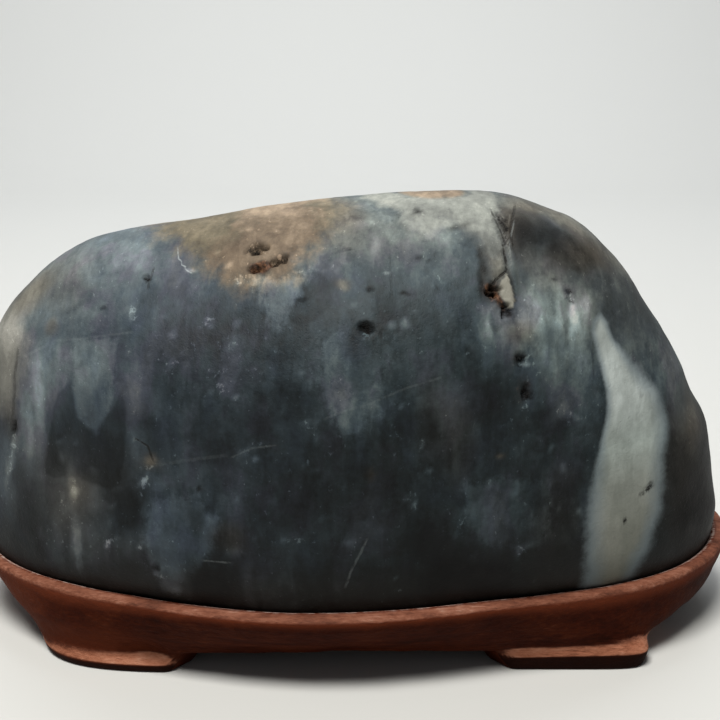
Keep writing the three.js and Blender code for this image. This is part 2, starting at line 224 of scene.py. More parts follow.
def make_piece(name, points, faces, material, attributes):
    """A smooth-shaded mesh from points in mm and faces, with one float attribute per name."""
    mesh = bpy.data.meshes.new(name)
    mesh.from_pydata((points * MM).tolist(), [], faces)
    for key, values in attributes.items():
        layer = mesh.attributes.new(key, "FLOAT", "POINT")
        layer.data.foreach_set("value", np.asarray(values, np.float32))
    mesh.shade_smooth()
    mesh.materials.append(material)
    mesh.update()
    piece = bpy.data.objects.new(name, mesh)
    bpy.context.scene.collection.objects.link(piece)
    return piece


def outline_radius(angle):
    """Radius of the face-on outline at an angle in degrees: a smooth closed cubic through the
    listed points, each with the slope from its two neighbours."""
    corners = np.array(STONE_OUTLINE, float)
    at = np.degrees(np.arctan2(corners[:, 1] - STONE_MIDDLE_Z, corners[:, 0])) % 360
    order = np.argsort(at)
    at = at[order]
    far = np.hypot(corners[:, 0], corners[:, 1] - STONE_MIDDLE_Z)[order]
    at = np.concatenate([at[-2:] - 360, at, at[:2] + 360])
    far = np.concatenate([far[-2:], far, far[:2]])
    slope = (far[2:] - far[:-2]) / (at[2:] - at[:-2])
    at = at[1:-1]
    far = far[1:-1]
    angle = np.mod(angle, 360)
    i = np.clip(np.searchsorted(at, angle, side="right") - 1, 0, len(at) - 2)
    span = at[i + 1] - at[i]
    t = (angle - at[i]) / span
    return ((2 * t**3 - 3 * t**2 + 1) * far[i] + (t**3 - 2 * t**2 + t) * span * slope[i]
            + (3 * t**2 - 2 * t**3) * far[i + 1] + (t**3 - t**2) * span * slope[i + 1])


def stone_gauge(x, y, z):
    """How far out a point lies, 0 at the stone's middle and 1 on its skin:
    (radius / outline)^n + (depth / reach)^n = 1, with n larger towards the base."""
    radius = np.maximum(np.hypot(x, z), 1e-6)
    rise = z / radius
    n = (SIDE_ROUNDING + BASE_SQUARING * np.maximum(0, -rise) ** BASE_SQUARING_POWER
         + TOP_SQUARING * np.maximum(0, rise) ** 2)
    reach = np.where(y < 0, STONE_FRONT_REACH, STONE_BACK_REACH)
    outline = outline_radius(np.degrees(np.arctan2(z, x)))
    return ((radius / outline) ** n + (np.abs(y) / reach) ** n) ** (1 / n)


def swell(swells, x, z):
    """Sum of rounded rises: height * exp(-(dx / half width)^2 - (dz / half height)^2)."""
    rise = 0.0
    for mid_x, mid_z, half_width, half_height, height in swells:
        rise = rise + height * np.exp(-((x - mid_x) / half_width) ** 2
                                      - ((z - mid_z) / half_height) ** 2)
    return rise


def face_scale(x, y, z):
    """Depth of the swollen skin over the plain one: 1 + swell / reach, front and back apart."""
    return np.where(y < 0, 1 + swell(FRONT_SWELLS, x, z) / STONE_FRONT_REACH,
                    1 + swell(BACK_SWELLS, x, z) / STONE_BACK_REACH)


def end_bow(x):
    """Both ends of the stone curl forwards with the square of the length."""
    return STONE_END_BOW * (x / STONE_HALF_LENGTH) ** 2


def skin_point(direction):
    """The skin's point in a direction from the stone's middle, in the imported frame."""
    gauge = stone_gauge(direction[..., 0], direction[..., 1], direction[..., 2])
    x, y, z = np.moveaxis(direction / gauge[..., None], -1, 0)
    z = z + STONE_MIDDLE_Z
    y = y * face_scale(x, y, z) - end_bow(x)
    return np.stack([x, y, z], -1) + LIST_ORIGIN


def settle(point):
    """The skin's point in line with a listed point, seen from the stone's middle."""
    x, y, z = point
    return skin_point(np.array([x, y + end_bow(x), z - STONE_MIDDLE_Z], float))


def inside_gauge(points):
    """stone_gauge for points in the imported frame."""
    x, y, z = np.moveaxis(points - LIST_ORIGIN, -1, 0)
    straight = y + end_bow(x)
    return stone_gauge(x, straight / face_scale(x, straight, z), z - STONE_MIDDLE_Z)


# Cells of the stone's grid along X, Y and Z, half the size of the box that they lie on, and
# where the grid lines draw together, per axis: place, half width, extra density
STONE_CELLS = (240, 52, 124)
STONE_GRID_HALF = (128.0, 66.0, 84.0)
CROWDING = (
    [(-27, 8, 0.9), (47.5, 5, 1.8)],
    [(-50, 16, 1.6)],
    [(64, 14, 1.2), (-70, 14, -0.55)],
)


def grid_lines(axis):
    """Places of the grid lines on one axis: the density 1 + sum of bells, added up along the
    axis and read backwards, so that every cell holds the same share of it."""
    fine = np.linspace(-STONE_GRID_HALF[axis], STONE_GRID_HALF[axis], 4001)
    density = 1 + sum(extra * np.exp(-((fine - at) / half) ** 2)
                      for at, half, extra in CROWDING[axis])
    share = np.cumsum(density)
    share = (share - share[0]) / (share[-1] - share[0])
    return np.interp(np.linspace(0, 1, STONE_CELLS[axis] + 1), share, fine)


def stone_grid():
    """Points and quads of a grid on the six sides of a box, with shared edges, each point
    pushed in or out to the stone's skin. All quads face outwards."""
    lines = [grid_lines(axis) for axis in range(3)]
    nx, ny, nz = STONE_CELLS
    sides = []
    for axis, end in ((0, 0), (0, nx), (1, 0), (1, ny), (2, 0), (2, nz)):
        u, v = [a for a in range(3) if a != axis]
        i, j = np.meshgrid(np.arange(STONE_CELLS[u]), np.arange(STONE_CELLS[v]), indexing="ij")
        i, j = i.ravel(), j.ravel()
        ring = [(0, 0), (1, 0), (1, 1), (0, 1)]
        if (end > 0) == (axis == 1):
            ring = ring[::-1]
        corners = []
        for di, dj in ring:
            index = np.zeros((len(i), 3), int)
            index[:, axis] = end
            index[:, u] = i + di
            index[:, v] = j + dj
            corners.append(index[:, 0] + (nx + 1) * (index[:, 1] + (ny + 1) * index[:, 2]))
        sides.append(np.stack(corners, 1))
    keys, quads = np.unique(np.concatenate(sides), return_inverse=True)
    quads = quads.reshape(-1, 4)
    index = np.stack([keys % (nx + 1), keys // (nx + 1) % (ny + 1),
                      keys // ((nx + 1) * (ny + 1))], 1)
    direction = np.stack([lines[axis][index[:, axis]] for axis in range(3)], 1)
    return skin_point(direction), quads


# The face chart: s runs along X; t is the height seen from the front and a little above, and it
# runs on over the crest, so that the back's markings have t from about 140 up to 270.
CHART_TILT = math.radians(20)
CHART_HALF_LENGTH = 150


def face_chart(points, normals):
    """s = x; height h = z cos20 + y sin20; t = h in front of the crest and 2 crest - h behind,
    where crest is the largest h of that x. The two meet softly under the ends."""
    s = points[:, 0]
    height = points[:, 2] * math.cos(CHART_TILT) + points[:, 1] * math.sin(CHART_TILT)
    crest = np.full(2 * CHART_HALF_LENGTH + 1, -1.0)
    np.maximum.at(crest, np.round(s).astype(int) + CHART_HALF_LENGTH, height)
    known = crest > 0
    places = np.arange(len(crest)) - CHART_HALF_LENGTH
    crest_here = np.interp(s, places[known], crest[known])
    facing = -normals[:, 1] * math.cos(CHART_TILT) + normals[:, 2] * math.sin(CHART_TILT)
    return s, lerp(2 * crest_here - height, height, smooth(facing, -0.4, 0))


def to_segment(s, t, start, end):
    """Distance in mm to a straight piece of line in the chart: the offset from its start, less
    the share of the line that lies abreast of the point, held between 0 and 1."""
    ds, dt = end[0] - start[0], end[1] - start[1]
    off_s, off_t = s - start[0], t - start[1]
    along = np.clip((off_s * ds + off_t * dt) / (ds * ds + dt * dt), 0, 1)
    return np.hypot(off_s - along * ds, off_t - along * dt)


def inside_mm(outline, s, t):
    """Distance in mm to the nearest edge of a closed outline in the chart, positive inside:
    the sign flips each time a ray from the point crosses an edge."""
    near = np.full(s.shape, FAR)
    is_in = np.zeros(s.shape, bool)
    for start, end in itertools.pairwise(outline + outline[:1]):
        near = np.minimum(near, to_segment(s, t, start, end))
        (s0, t0), (s1, t1) = start, end
        if t0 != t1:
            is_in ^= ((t0 > t) != (t1 > t)) & (s < s0 + (t - t0) * (s1 - s0) / (t1 - t0))
    return np.where(is_in, near, -near)


def strokes(table, s, t):
    """Sum of soft brush strokes: amount * exp(-(a^2 + b^2)^1.5), where a and b are the distances
    along and across the stroke in its half lengths. A row holds s and t of the middle, the two
    half lengths, the amount in hundredths and, for a turned stroke, its turn in degrees."""
    total = np.zeros(s.shape)
    for mid_s, mid_t, half_s, half_t, amount, *turn in table:
        turn = math.radians(turn[0]) if turn else 0.0
        c, n = math.cos(turn), math.sin(turn)
        a = ((s - mid_s) * c + (t - mid_t) * n) / half_s
        b = (-(s - mid_s) * n + (t - mid_t) * c) / half_t
        total += amount / 100 * np.exp(-(a * a + b * b) ** 1.5)
    return total


def lines_field(table, s, t):
    """For thin marks given as (half width, strength, points): the signed distance in half widths
    to the nearest one's middle line, and its strength, which fades out 1.4 to 2.4 mm away."""
    side, strength = np.full(s.shape, 3.0), np.zeros(s.shape)
    near = np.full(s.shape, FAR)
    for half_width, amount, path in table:
        for start, end in itertools.pairwise(path):
            ds, dt = end[0] - start[0], end[1] - start[1]
            away = to_segment(s, t, start, end)
            across = ((t - start[1]) * ds - (s - start[0]) * dt) / math.hypot(ds, dt)
            closer = away < near
            near = np.where(closer, away, near)
            side = np.where(closer, across / half_width, side)
            strength = np.where(closer, amount * (1 - smooth(away, 1.4, 2.4)), strength)
    return np.clip(side, -4, 4), strength


# Outlines of the markings in the face chart, mm: the iron-stained cap, its redder part, the
# bleached cap and the stain on its crest, the quartz vein, the light plug, the creamy left end
OCHRE = [
    (-60, 146), (-53, 157), (-46, 152), (-37, 168), (-27, 163), (-20, 171), (-12, 158),
    (-10, 150), (-5, 140.7), (-3.5, 136), (-4, 130), (-7, 124), (-11, 119.5), (-12.9, 116),
    (-17.1, 113.5), (-17, 110.4), (-21.2, 108.4), (-26.1, 107.5), (-31.7, 107.6),
    (-36.9, 109.6), (-39.2, 112), (-43.9, 113), (-47.2, 116.9), (-52.3, 119.3), (-58, 123.5),
    (-63.5, 127.3), (-68, 136),
]
OCHRE_PINK = [
    (-14, 156), (-9, 137), (-8.5, 124), (-13, 112.5), (-20, 109.5), (-29, 108.5), (-37, 110.5),
    (-44, 112), (-45, 117.5), (-39, 120), (-33, 122), (-34, 128), (-37, 133), (-36, 140),
    (-32, 156),
]
PALE_TOP = [
    (4, 150), (3.8, 140.6), (9.5, 135.4), (14, 133.2), (16.6, 128.3), (20.2, 124.3),
    (25.7, 123.5), (31.2, 124.5), (37.5, 123.2), (41.6, 120.5), (44, 113.5), (47, 113),
    (47.6, 118), (47.2, 124), (47, 129), (49.4, 133.5), (50.6, 138.6), (48.5, 147), (47, 158),
    (38, 168), (31, 160), (21, 172), (14, 161),
]
CREST_STAIN = [
    (16.5, 144), (18.6, 141.4), (21.5, 139.7), (27.4, 138.6), (34.1, 138.7), (38.4, 139.9),
    (41, 142.5), (38, 147), (28, 149), (20, 148),
]
VEIN = [
    (80.2, 97.4), (82.2, 95.2), (84, 91), (87.2, 87), (91, 82.8), (97, 78.4), (101.6, 73.7),
    (103.8, 68.3), (105.1, 63.4), (104.8, 58.6), (103.7, 53.4), (103.3, 47.8), (102.9, 39.2),
    (102.3, 34.3), (100.7, 29.7), (98.8, 22.8), (95.5, 17.9), (93.6, 11.3), (90, -8), (76, -8),
    (76.7, 11.4), (76.1, 22.8), (76.4, 32.8), (77.1, 39.1), (77.8, 45.8), (78.7, 51.2),
    (80, 57.8), (81.2, 62.5), (82.3, 67.2), (82.2, 73.9), (81.3, 78.3), (80.4, 83.4),
    (79.2, 88.5), (77.8, 92.6), (78.3, 95.6),
]
PLUG = [
    (48.9, 110.2), (49.8, 108.2), (50.2, 106.3), (50.7, 103.4), (50.8, 101.2), (50.3, 99.2),
    (48.6, 99.2), (47.1, 100.8), (46.1, 102.7), (45.5, 104.9), (45.9, 106.9), (47.5, 108.4),
]
LEFT_CREAM = [
    (-140, 110), (-119, 101), (-112, 100), (-106.1, 93.8), (-106.9, 84), (-109.5, 76),
    (-113, 69), (-140, 64),
]

# The open fissure on the right shoulder: a shallow facet between two cracks, the cracks and
# ridges themselves (half width, depth, darkness, points; ridges have both below zero)
FACET_DEPTH = 0.35
FACET = [
    (49.9, 137.6), (52.5, 138.6), (56.3, 136.6), (53.8, 130.9), (51.4, 125.3), (51.2, 121.3),
    (49.4, 117), (48.8, 120.1), (47.7, 124), (46.9, 127.8), (46.3, 131.9),
]
CRACKS = [
    (0.8, 0.4, 0.4, [(54.6, 133), (53.8, 130.9), (52.6, 128), (51.5, 125.3)]),
    (0.4, 0.25, 0.45, [(46.5, 131.5), (46.9, 127.8), (47.8, 124), (48.8, 120.1), (49.2, 118.4)]),
    (0.9, 0.45, 0.45, [(48.7, 117.6), (48.9, 115), (49, 112.3), (48.9, 110.7)]),
    (0.9, 0.45, 0.4, [(48.9, 110.9), (47.2, 109.5), (45.5, 108), (44.2, 106.4), (42.9, 104.8)]),
    (0.5, 0.4, 0.8, [(48.9, 110.9), (50, 108.8), (50.6, 106.6), (50.8, 104.4), (50.8, 101)]),
    (0.8, 0.25, 0.45, [(51.3, 124), (52, 121), (52.5, 117.9), (52.4, 113.8), (52.2, 109.5),
                       (52, 103)]),
    (0.9, 0.25, 0.5, [(40.7, 118.2), (41.3, 114.8), (40.8, 111.5), (41.2, 106.6)]),
    (0.4, 0.1, 0.4, [(48.6, 131), (49.3, 127.6), (49.5, 125.4)]),
    (0.35, 0.1, 0.35, [(51.4, 132.6), (50.7, 129), (50.2, 125)]),
    (0.4, 0.1, 0.35, [(47.6, 127.4), (48.9, 126.2), (50.4, 126)]),
    (0.35, 0.1, 0.3, [(47.9, 130.4), (50.2, 129.6), (51.9, 130.3)]),
    (0.4, -0.1, -0.25, [(53, 131.5), (52.1, 129), (51.2, 126)]),
    (0.5, -0.1, -0.2, [(50.2, 121.5), (50.1, 117.5), (50.3, 112.5)]),
    (0.5, -0.1, -0.15, [(47.6, 116.5), (47.4, 113), (46.2, 110)]),
]

# Veils and dark lobes with a fairly clear edge: softness of the edge in mm, lift, outline
LOBES = [
    (1.1, -0.065, [(-86.7, 77.3), (-85.4, 70.8), (-85.4, 65.1), (-82.6, 63.6), (-78.1, 61.8),
                   (-75.4, 64.9), (-72.5, 68.1), (-69.5, 73), (-68.1, 69.3), (-68.5, 61.3),
                   (-69.7, 51.9), (-70.3, 45.3), (-74.5, 42.9), (-85.2, 46), (-97.7, 46.9),
                   (-98.4, 50.2), (-96.5, 59.1), (-94.2, 67.5), (-91.5, 72.6)]),
    (1.4, 0.075, [(-86, 90), (-71, 90), (-71.5, 75), (-73, 69), (-76, 64.5), (-78, 61),
                  (-82, 63), (-84.5, 66), (-86, 73)]),
    (1.0, 0.10, [(-7.4, 87.5), (-3.6, 92), (1, 90), (3, 80), (4, 70), (2, 62), (-1.2, 59.4),
                 (-3, 64.8), (-6.2, 69.8), (-6.8, 76.9)]),
    (4.0, 0.05, [(-7.4, 87.5), (-3.6, 92), (6, 91.1), (13, 87.5), (12, 77.2), (9, 68.4),
                 (4.4, 61.8), (-1.2, 59.4), (-3, 64.8), (-6.2, 69.8), (-6.8, 76.9)]),
    (2.6, 0.08, [(-60, 40), (-63, 33), (-63, 22), (-59, 12), (-50, 9), (-46.5, 18), (-41, 26),
                 (-38.5, 34), (-46, 43)]),
    (0.7, 0.045, [(-88.7, 29.5), (-85.2, 29.8), (-85.2, 18), (-86.6, 13.5), (-88.4, 17.5)]),
    (1.2, 0.09, [(-57, 37), (-51.3, 36), (-50.8, 26.7), (-52.4, 12), (-57.2, 12.9)]),
    (1.8, -0.04, [(-44, 21.5), (-33, 22), (-32.5, 6), (-46, 6), (-49, 14)]),
    (2.2, 0.05, [(35.8, 45.3), (49, 47), (63.6, 44.7), (62.4, 33.7), (60.1, 24.2),
                 (47.2, 25.3), (37.6, 31.3)]),
    (2.0, -0.05, [(-75, 43), (-63, 43), (-63.5, 31), (-72, 31)]),
    (3.0, 0.10, [(-28, 110), (-20.5, 108), (-11.5, 111), (-13.5, 105), (-16.8, 98.5),
                 (-20.3, 91.8), (-23.8, 96.1), (-26.3, 101.5)]),
    (0.8, -0.045, [(-11.8, 110.3), (-13.5, 106.4), (-15.2, 102.3), (-16.6, 98.6), (-17.4, 95.2),
                   (-14.6, 93.3), (-8.7, 94.5), (-4.5, 100), (-5.2, 106.3), (-7.8, 109.6)]),
    (2.2, -0.08, [(54.5, 134), (62, 133), (69, 126), (66, 119), (58, 113), (53.5, 104),
                  (52.6, 114), (51.8, 122), (52.6, 128)]),
]

# Rows for strokes(), from here on: s, t, half lengths, amount in hundredths, turn.
# First the lighter and darker grey. At least 88 of these rows began as the output of a program
# that fitted such strokes to the greys of the photo, and were then changed one by one.
TONE_STROKES = [
    # around the fissure
    (29, 143, 12, 4, -6), (48.2, 137, 3.4, 3, 7), (51, 128, 2, 6, 3), (57, 127, 2.6, 6, -6),
    (54.4, 117, 1.3, 5, -5), (51.8, 111, 1, 4, 4), (-10, 139, 4, 2.5, 5), (68, 84, 14, 12, 5),
    (31, 123, 5.5, 5, 14), (51.2, 98, 2.6, 7, -7), (79, 107, 4, 6, 7), (60.3, 104, 3.5, 3, -8),
    (45, 118, 2.6, 4, -8), (51.5, 86.5, 4.5, 3, 6), (56.8, 115.4, 4.5, 5.5, 12),
    (60.6, 117, 3.5, 3.5, 5), (56, 101, 5, 8, 9), (60.4, 98.5, 4, 6, 8), (73, 98, 4.5, 9, 12),
    (47.7, 92.9, 3.5, 5, 7), (40.4, 95.2, 3, 5, 6), (54.6, 127.5, 3, 5.5, -8),
    (51.4, 131, 2.6, 5, -12), (67.3, 117, 4, 4, -5), (75.5, 121.5, 7, 4.5, -6, -40),
    (39, 122.5, 3.5, 3.5, -10),
    # upper left
    (-88, 116, 30, 18, 11, 8), (-66, 116.5, 3.5, 6, 5.5, 8), (-58, 105, 4, 2.5, -3),
    (-98, 103, 12, 10, 2, 40), (-106, 74, 8, 18, 10), (50, 100, 9, 8, 3),
    (-92, 108, 18, 8, 4, 20), (-33, 92, 16, 18, 3), (-25, 75, 22, 14, 2), (0, 146, 40, 7, 8),
    (18, 139, 12, 3, 8), (-88, 78, 13, 12, 8), (-88, 40, 13, 13, 6), (-8, 122, 13, 12, 5),
    (-34, 96, 13, 12, -7), (-57, 27, 12, 13, 4), (17, 124, 10, 11, 4), (43, 92, 5, 11, 9),
    (-116, 50, 7, 14, 9), (-114, 97, 15, 9, 8), (96, 84, 13, 12, 5), (4, 87, 7, 5, -8),
    (-85, 31, 14, 13, 6), (-95, 78, 6, 12, 10), (-64, 77, 13, 12, 5), (15, 97, 12, 8, -6),
    (4, 69, 11, 8, 6), (15, 129, 9, 9, 5), (44, 87, 12, 12, 4), (-59, 39, 5, 12, 6),
    (-36, 124, 6, 7, -9), (-17, 27, 12, 12, 4), (-107, 59, 4.5, 9, 9), (35, 14, 12, 12, -4),
    (-81, 56, 14, 12, 3), (-28, 67, 12, 8, -4), (7, 33, 12, 12, 3), (106, 87, 18, 14, 5),
    (-95, 97, 15, 8, 4), (-62, 104, 13, 13, 3), (-46, 34, 2.6, 8, -7), (75, 73, 9, 8, 5),
    (-18, 112, 12, 6, 4), (-113, 35, 8, 9, 6), (120, 32, 9, 14, -5), (64, 90, 3.5, 8, -6),
    (-34, 41, 5, 8, 5), (-78, 24, 14, 9, 4), (-89, 43, 6, 13, 4), (-90, 66, 16, 13, 3),
    (2, 67, 8, 12, 3.6), (-75, 117, 10, 10, 4), (-56, 18, 6, 9, 4), (-20, 9, 13, 15, 3),
    (-37, 90, 13, 8, -2.8), (-27, 109, 3, 6, 6), (-46, 104, 9, 6, 4), (12, 95, 3, 8, -5),
    (39, 16, 13, 9, -3), (52, 98, 3, 7, -4), (-55, 45, 6, 13, 3), (74, 38, 9, 13, 3.3),
    (44.5, 93, 1.6, 5, -6), (76, 83, 3, 5, 6), (47, 14, 14, 6, -3.5), (45, 116, 3, 4, -5),
    (-9, 124, 5, 7, -4.5), (52, 85.5, 4, 2, 6), (-81, 108, 6, 6, -4.5), (-40, 58, 3, 8, -4),
    (-44, 13, 9, 6, -3), (-79, 31, 6, 9, -3), (107, 62, 6, 13, 3), (-80, 84, 6, 5, -4),
    (120, 63, 3, 9, 6), (-70, 70, 50, 45, 1.2), (80, 87, 15, 12, 3.5), (56, 71, 4, 8, 5),
    (-88, 21, 3, 6, 7), (44, 43, 9, 5, -4), (-101, 49, 4, 9, -5), (-67, 25, 6, 5, 5),
    (-50, 63, 5, 12, 4), (46, 15, 13, 6, -4), (9, 134, 9, 12, 4), (-65, 82, 6, 5, 5),
    (32, 69, 5, 12, 3.5), (-43, 13, 9, 6, -4), (26, 24, 5, 13, -3.5), (-84, 95, 6, 5, 5),
    (-116, 97, 12, 13, 4), (-59, 96, 5, 5, 5), (120, 30, 8, 13, -4), (-94, 109, 7, 6, -9),
    (-66, 68, 12, 12, 3), (44, 38, 12, 12, 4), (36, 15, 13, 8, -4), (120, 32, 9, 15, -4),
    (-49, 35, 5, 8, -4), (-56, 15, 4, 6, 6), (53, 76, 4, 12, 3), (73, 70, 5, 12, 4),
    (-75, 97, 12, 8, 3), (-49, 111.5, 1.8, 1, 16, -20), (-66.5, 98.8, 2, 2.4, 6),
    (-67, 97, 0.9, 1.6, 8), (-84, 98.5, 8, 2.4, 5, 8), (-76.5, 100, 1.2, 0.8, -9),
    (-95, 94.5, 3, 3, -3.5), (-62, 98, 8, 7, -3), (-59.5, 96, 3, 8, 2, 4),
    (-88, 83, 17, 8, 8.5), (-80, 84, 6, 7, 3), (-101.5, 66, 5.5, 20, 11.5),
    (-99.2, 70, 1.9, 15, 6), (-104, 60, 2.2, 12, 3), (-109.3, 78, 1.5, 9, -10, 3),
    (-112.8, 66, 2.5, 7, -6), (-65, 68, 3.4, 22, 6.5), (-45, 88, 14, 16, -1.5),
    (-52.7, 90.6, 1.3, 1.1, 13), (-53.5, 82.2, 1.1, 0.9, 9), (-53.2, 80.7, 1, 0.8, 8),
    (-49.5, 81, 1, 0.8, 8), (-49.8, 84.8, 0.8, 1, 8), (-33.2, 94.3, 1.4, 1.7, 12),
    (-34.5, 87.8, 2.6, 2.8, 5), (-33.7, 89, 0.9, 1.9, 6), (-35.5, 85.8, 1.8, 1, 6),
    (-43, 94.5, 2.2, 1.9, 3), (-42, 94, 0.8, 0.8, 12), (-43.2, 96, 0.8, 0.7, 10),
    (-45.5, 92.5, 0.8, 0.8, 7), (-55.5, 96.5, 1.5, 0.8, 7, -20), (-40, 73.5, 1.2, 0.8, 9, -30),
    (-32.3, 72.2, 1.2, 1, 13, 30), (-37, 76.5, 2, 2.6, 4), (-37.6, 77.6, 0.8, 0.8, 6),
    (-60, 84.6, 0.9, 0.9, 6),
    # lower left
    (-112.3, 51, 1.6, 8, 15, -14), (-110.4, 62.2, 1.1, 1.7, -16), (-111, 57.5, 0.9, 0.9, 14),
    (-116, 48, 3, 10, 6), (-103, 51, 5, 8, 7), (-99.3, 46.5, 1.4, 1.3, 7), (-104, 38, 7, 7, 3),
    (-91.5, 57.6, 1.5, 1, 7), (-91.3, 59.5, 1, 0.8, -7), (-86.3, 57.5, 1, 0.8, 8),
    (-91, 52, 0.8, 1.8, 7), (-87, 45, 3, 6, 10), (-86.6, 41.8, 1.7, 1.9, 15),
    (-92, 38, 1.6, 4, 6), (-81, 40, 3, 5, 5), (-77, 39, 1.2, 2, 3), (-80, 49, 2, 1, 5),
    (-87, 25, 2, 9, 10, 3), (-86.8, 32, 1.5, 4, 5), (-95, 25, 4, 8, 5.5),
    (-101, 27, 1.2, 3, 6, 20), (-82, 24, 5, 9, 4), (-108, 35, 4, 7, -3.5),
    (-101.5, 21, 2, 7, -3), (-75.5, 26, 1.4, 1.1, 20, 30), (-72, 28, 1.4, 1, 6),
    (-75, 32.5, 1.1, 0.9, 7), (-74, 38.5, 1.3, 1, 6), (-64.6, 25.5, 1, 0.8, 20),
    (-63.7, 35.5, 1, 1.7, 8, -20), (-65.3, 32, 0.8, 2, 5), (-60.5, 51.7, 2.2, 1.6, 11),
    (-62.7, 45.3, 1.5, 1.5, 14), (-61.5, 47.5, 0.8, 2, 6), (-57, 45.3, 2.3, 2.4, 8),
    (-51.5, 47.5, 1, 2, 5, 20), (-65.8, 58.5, 0.9, 0.7, 8), (-65, 55, 3, 6, 5),
    (-48, 47, 11, 12, 5), (-62.7, 27, 1, 2, 5, 10), (-59.3, 18.8, 0.9, 1.1, -16),
    (-59.3, 16.4, 1.2, 0.8, 14), (-54, 12, 2, 1.5, 5), (-44, 33, 7, 9, 2),
    (-45.3, 43.8, 0.9, 0.6, -10, 30), (-42, 19.3, 2, 0.6, 5), (-36, 20, 1, 0.6, 6),
    (-35, 25, 3, 2, 3.5), (-31, 14, 2.5, 8, 3),
    # pits' surroundings and upper middle
    (-25, 138, 14, 6, 10), (-40, 127, 12, 6, 2), (-46, 121, 6, 4, -3), (-27, 107.3, 6, 2.2, 6),
    (-33.3, 107.5, 1, 1.6, 12), (-37.5, 113, 0.9, 1.2, 10), (-42, 117.5, 0.9, 0.8, 12),
    # (-13.6, 105) is a painted shadow line along the right edge of the pale wedge
    (-34, 126.5, 2.2, 1, 8), (-23.5, 125.5, 1.2, 0.9, 8), (-13.6, 105, 1, 4, -7, 20),
    (-13.8, 101, 1.7, 1.3, -9), (-8, 106, 5, 4, -3), (8.5, 117, 1.3, 4, 6),
    (4.5, 118, 1, 3, 3.5), (-2, 124, 2, 4, 3), (15, 112, 0.9, 3, 3.5),
    (-1.6, 106, 2.2, 1.3, 5, -30), (-6, 137.5, 1.5, 0.7, 7), (2.3, 138.5, 0.9, 0.7, 12),
    (-0.5, 131, 0.9, 1.5, 9), (8.5, 127, 1, 1.5, 8), (-3, 118, 2, 0.8, 5),
    (12, 108.7, 1, 0.6, 16), (2, 100, 1.1, 0.9, 8), (20.3, 97.6, 0.6, 0.6, 16),
    (-21, 85.6, 0.6, 0.6, 20), (0.6, 118, 1.3, 0.6, -12, -10), (22, 114.6, 1.3, 0.9, -10, 20),
    (24.7, 113.7, 0.8, 0.6, -10), (7, 104.3, 1.2, 0.7, -11, 15), (17.4, 103.4, 0.9, 0.6, -12),
    (18.8, 103, 0.8, 0.5, -9), (22.5, 132.3, 1.7, 0.9, -15, -20), (25, 120, 1.5, 1, -6),
    (17, 127, 1, 2.4, -9, -35), (27, 105, 0.8, 2.4, -8), (5.3, 93, 2.6, 1.5, -12),
    (5.6, 90.7, 1.4, 0.6, 16), (13.6, 93, 1.1, 1.2, 17), (17.2, 93.7, 1.2, 1.8, 21),
    (16, 90.5, 0.8, 1, 5), (12, 82.8, 1.1, 1, 7), (8.5, 75.7, 1, 0.9, 9),
    (-13, 79, 1.4, 0.9, 11, -20), (-11.5, 76.5, 0.9, 1.3, 8, -20), (-24, 90.5, 1, 0.7, 6, 20),
    (8, 80, 0.9, 0.9, 6), (-18, 72, 8, 6, -3.5), (19, 66, 6, 6, -2.5), (12, 76, 9, 10, 1.2),
    # pale top and fissure
    (35, 126, 3.8, 1.7, -13, 20), (38, 132, 8, 8, 5), (34, 111, 7, 8, 3),
    (41, 108.5, 1.1, 8, -12), (45.3, 112, 3.6, 7, 11), (54.5, 114, 4, 4, 4),
    (64, 97, 12, 13, 16), (70.5, 97.5, 1.9, 5.5, 20), (64.5, 97, 1.4, 6, 14),
    (75.5, 101, 1.6, 5, 16, -10), (57, 98, 2.6, 6, 10), (66, 104, 1.6, 3.5, 10, 20),
    (54, 93, 3, 4, 9), (42, 91.5, 1.1, 3.2, 14, 8), (60.5, 88, 1.1, 5, 6, -10),
    (61, 92, 1.2, 5, -6), (67.5, 92, 1.2, 4, -6), (73, 94, 1.2, 4, -6), (58, 106, 3, 4, 5),
    (52.8, 96.5, 1.5, 2.2, 10), (69, 105, 1.3, 1, -14), (69.3, 102, 1.4, 1.2, -9),
    (64, 108.5, 1, 0.7, -8), (67, 80, 11, 12, 11), (47, 76, 11, 10, -8),
    (52.6, 84, 1.6, 1.7, -12), (54, 82.6, 1.1, 0.9, 20), (52, 86.2, 1.1, 0.8, 6),
    (54.3, 75.3, 1.1, 1.3, -6), (55.2, 72.2, 1.3, 1.1, -8), (54.3, 69.5, 1.1, 0.8, 9),
    (67.5, 67, 2.1, 2.6, 11), (72, 65, 1.7, 0.9, 10), (78.5, 66, 1, 2, 4),
    (107.5, 58, 2, 18, -6, 4), (110, 76, 9, 16, 11, 20), (22, 78, 10, 10, 3),
    (90, 105, 14, 14, 1), (66, 121, 14, 9, -11.5, -20), (84, 111, 14, 9, -4, -40),
    (56, 119, 4, 8, -5, 10), (77.5, 84, 0.7, 3, -6), (96, 118, 8, 6, 3),
    (75.5, 128, 9, 5, 5, -30),
    # lower right
    (119, 36, 1.3, 3, 6, 20), (108.5, 43.5, 1.1, 1.6, -5), (118, 60, 5, 14, 3),
    (43.5, 45, 1.1, 1.3, 13, 30), (51.3, 46, 0.9, 2.6, 6), (51, 43, 0.9, 1, 6),
    (51.5, 56, 1.8, 3, 5.5, -30), (56, 59.5, 2.5, 0.9, 6), (59.5, 59.5, 1, 0.7, 7),
    (62.8, 56.3, 1.2, 1.1, 12), (67.6, 49.3, 1.2, 1.3, 10, 30), (58, 54.2, 2.5, 0.6, 6),
    (47, 54, 1.1, 0.8, 8), (36, 38.5, 1.1, 1, 8), (35, 35, 1, 1.2, 7), (39, 37, 1.5, 2.6, 6),
    (56, 36.5, 0.8, 0.7, 8), (49, 34, 1.5, 1, 5), (72.8, 36.3, 1.3, 1.1, 15, -20),
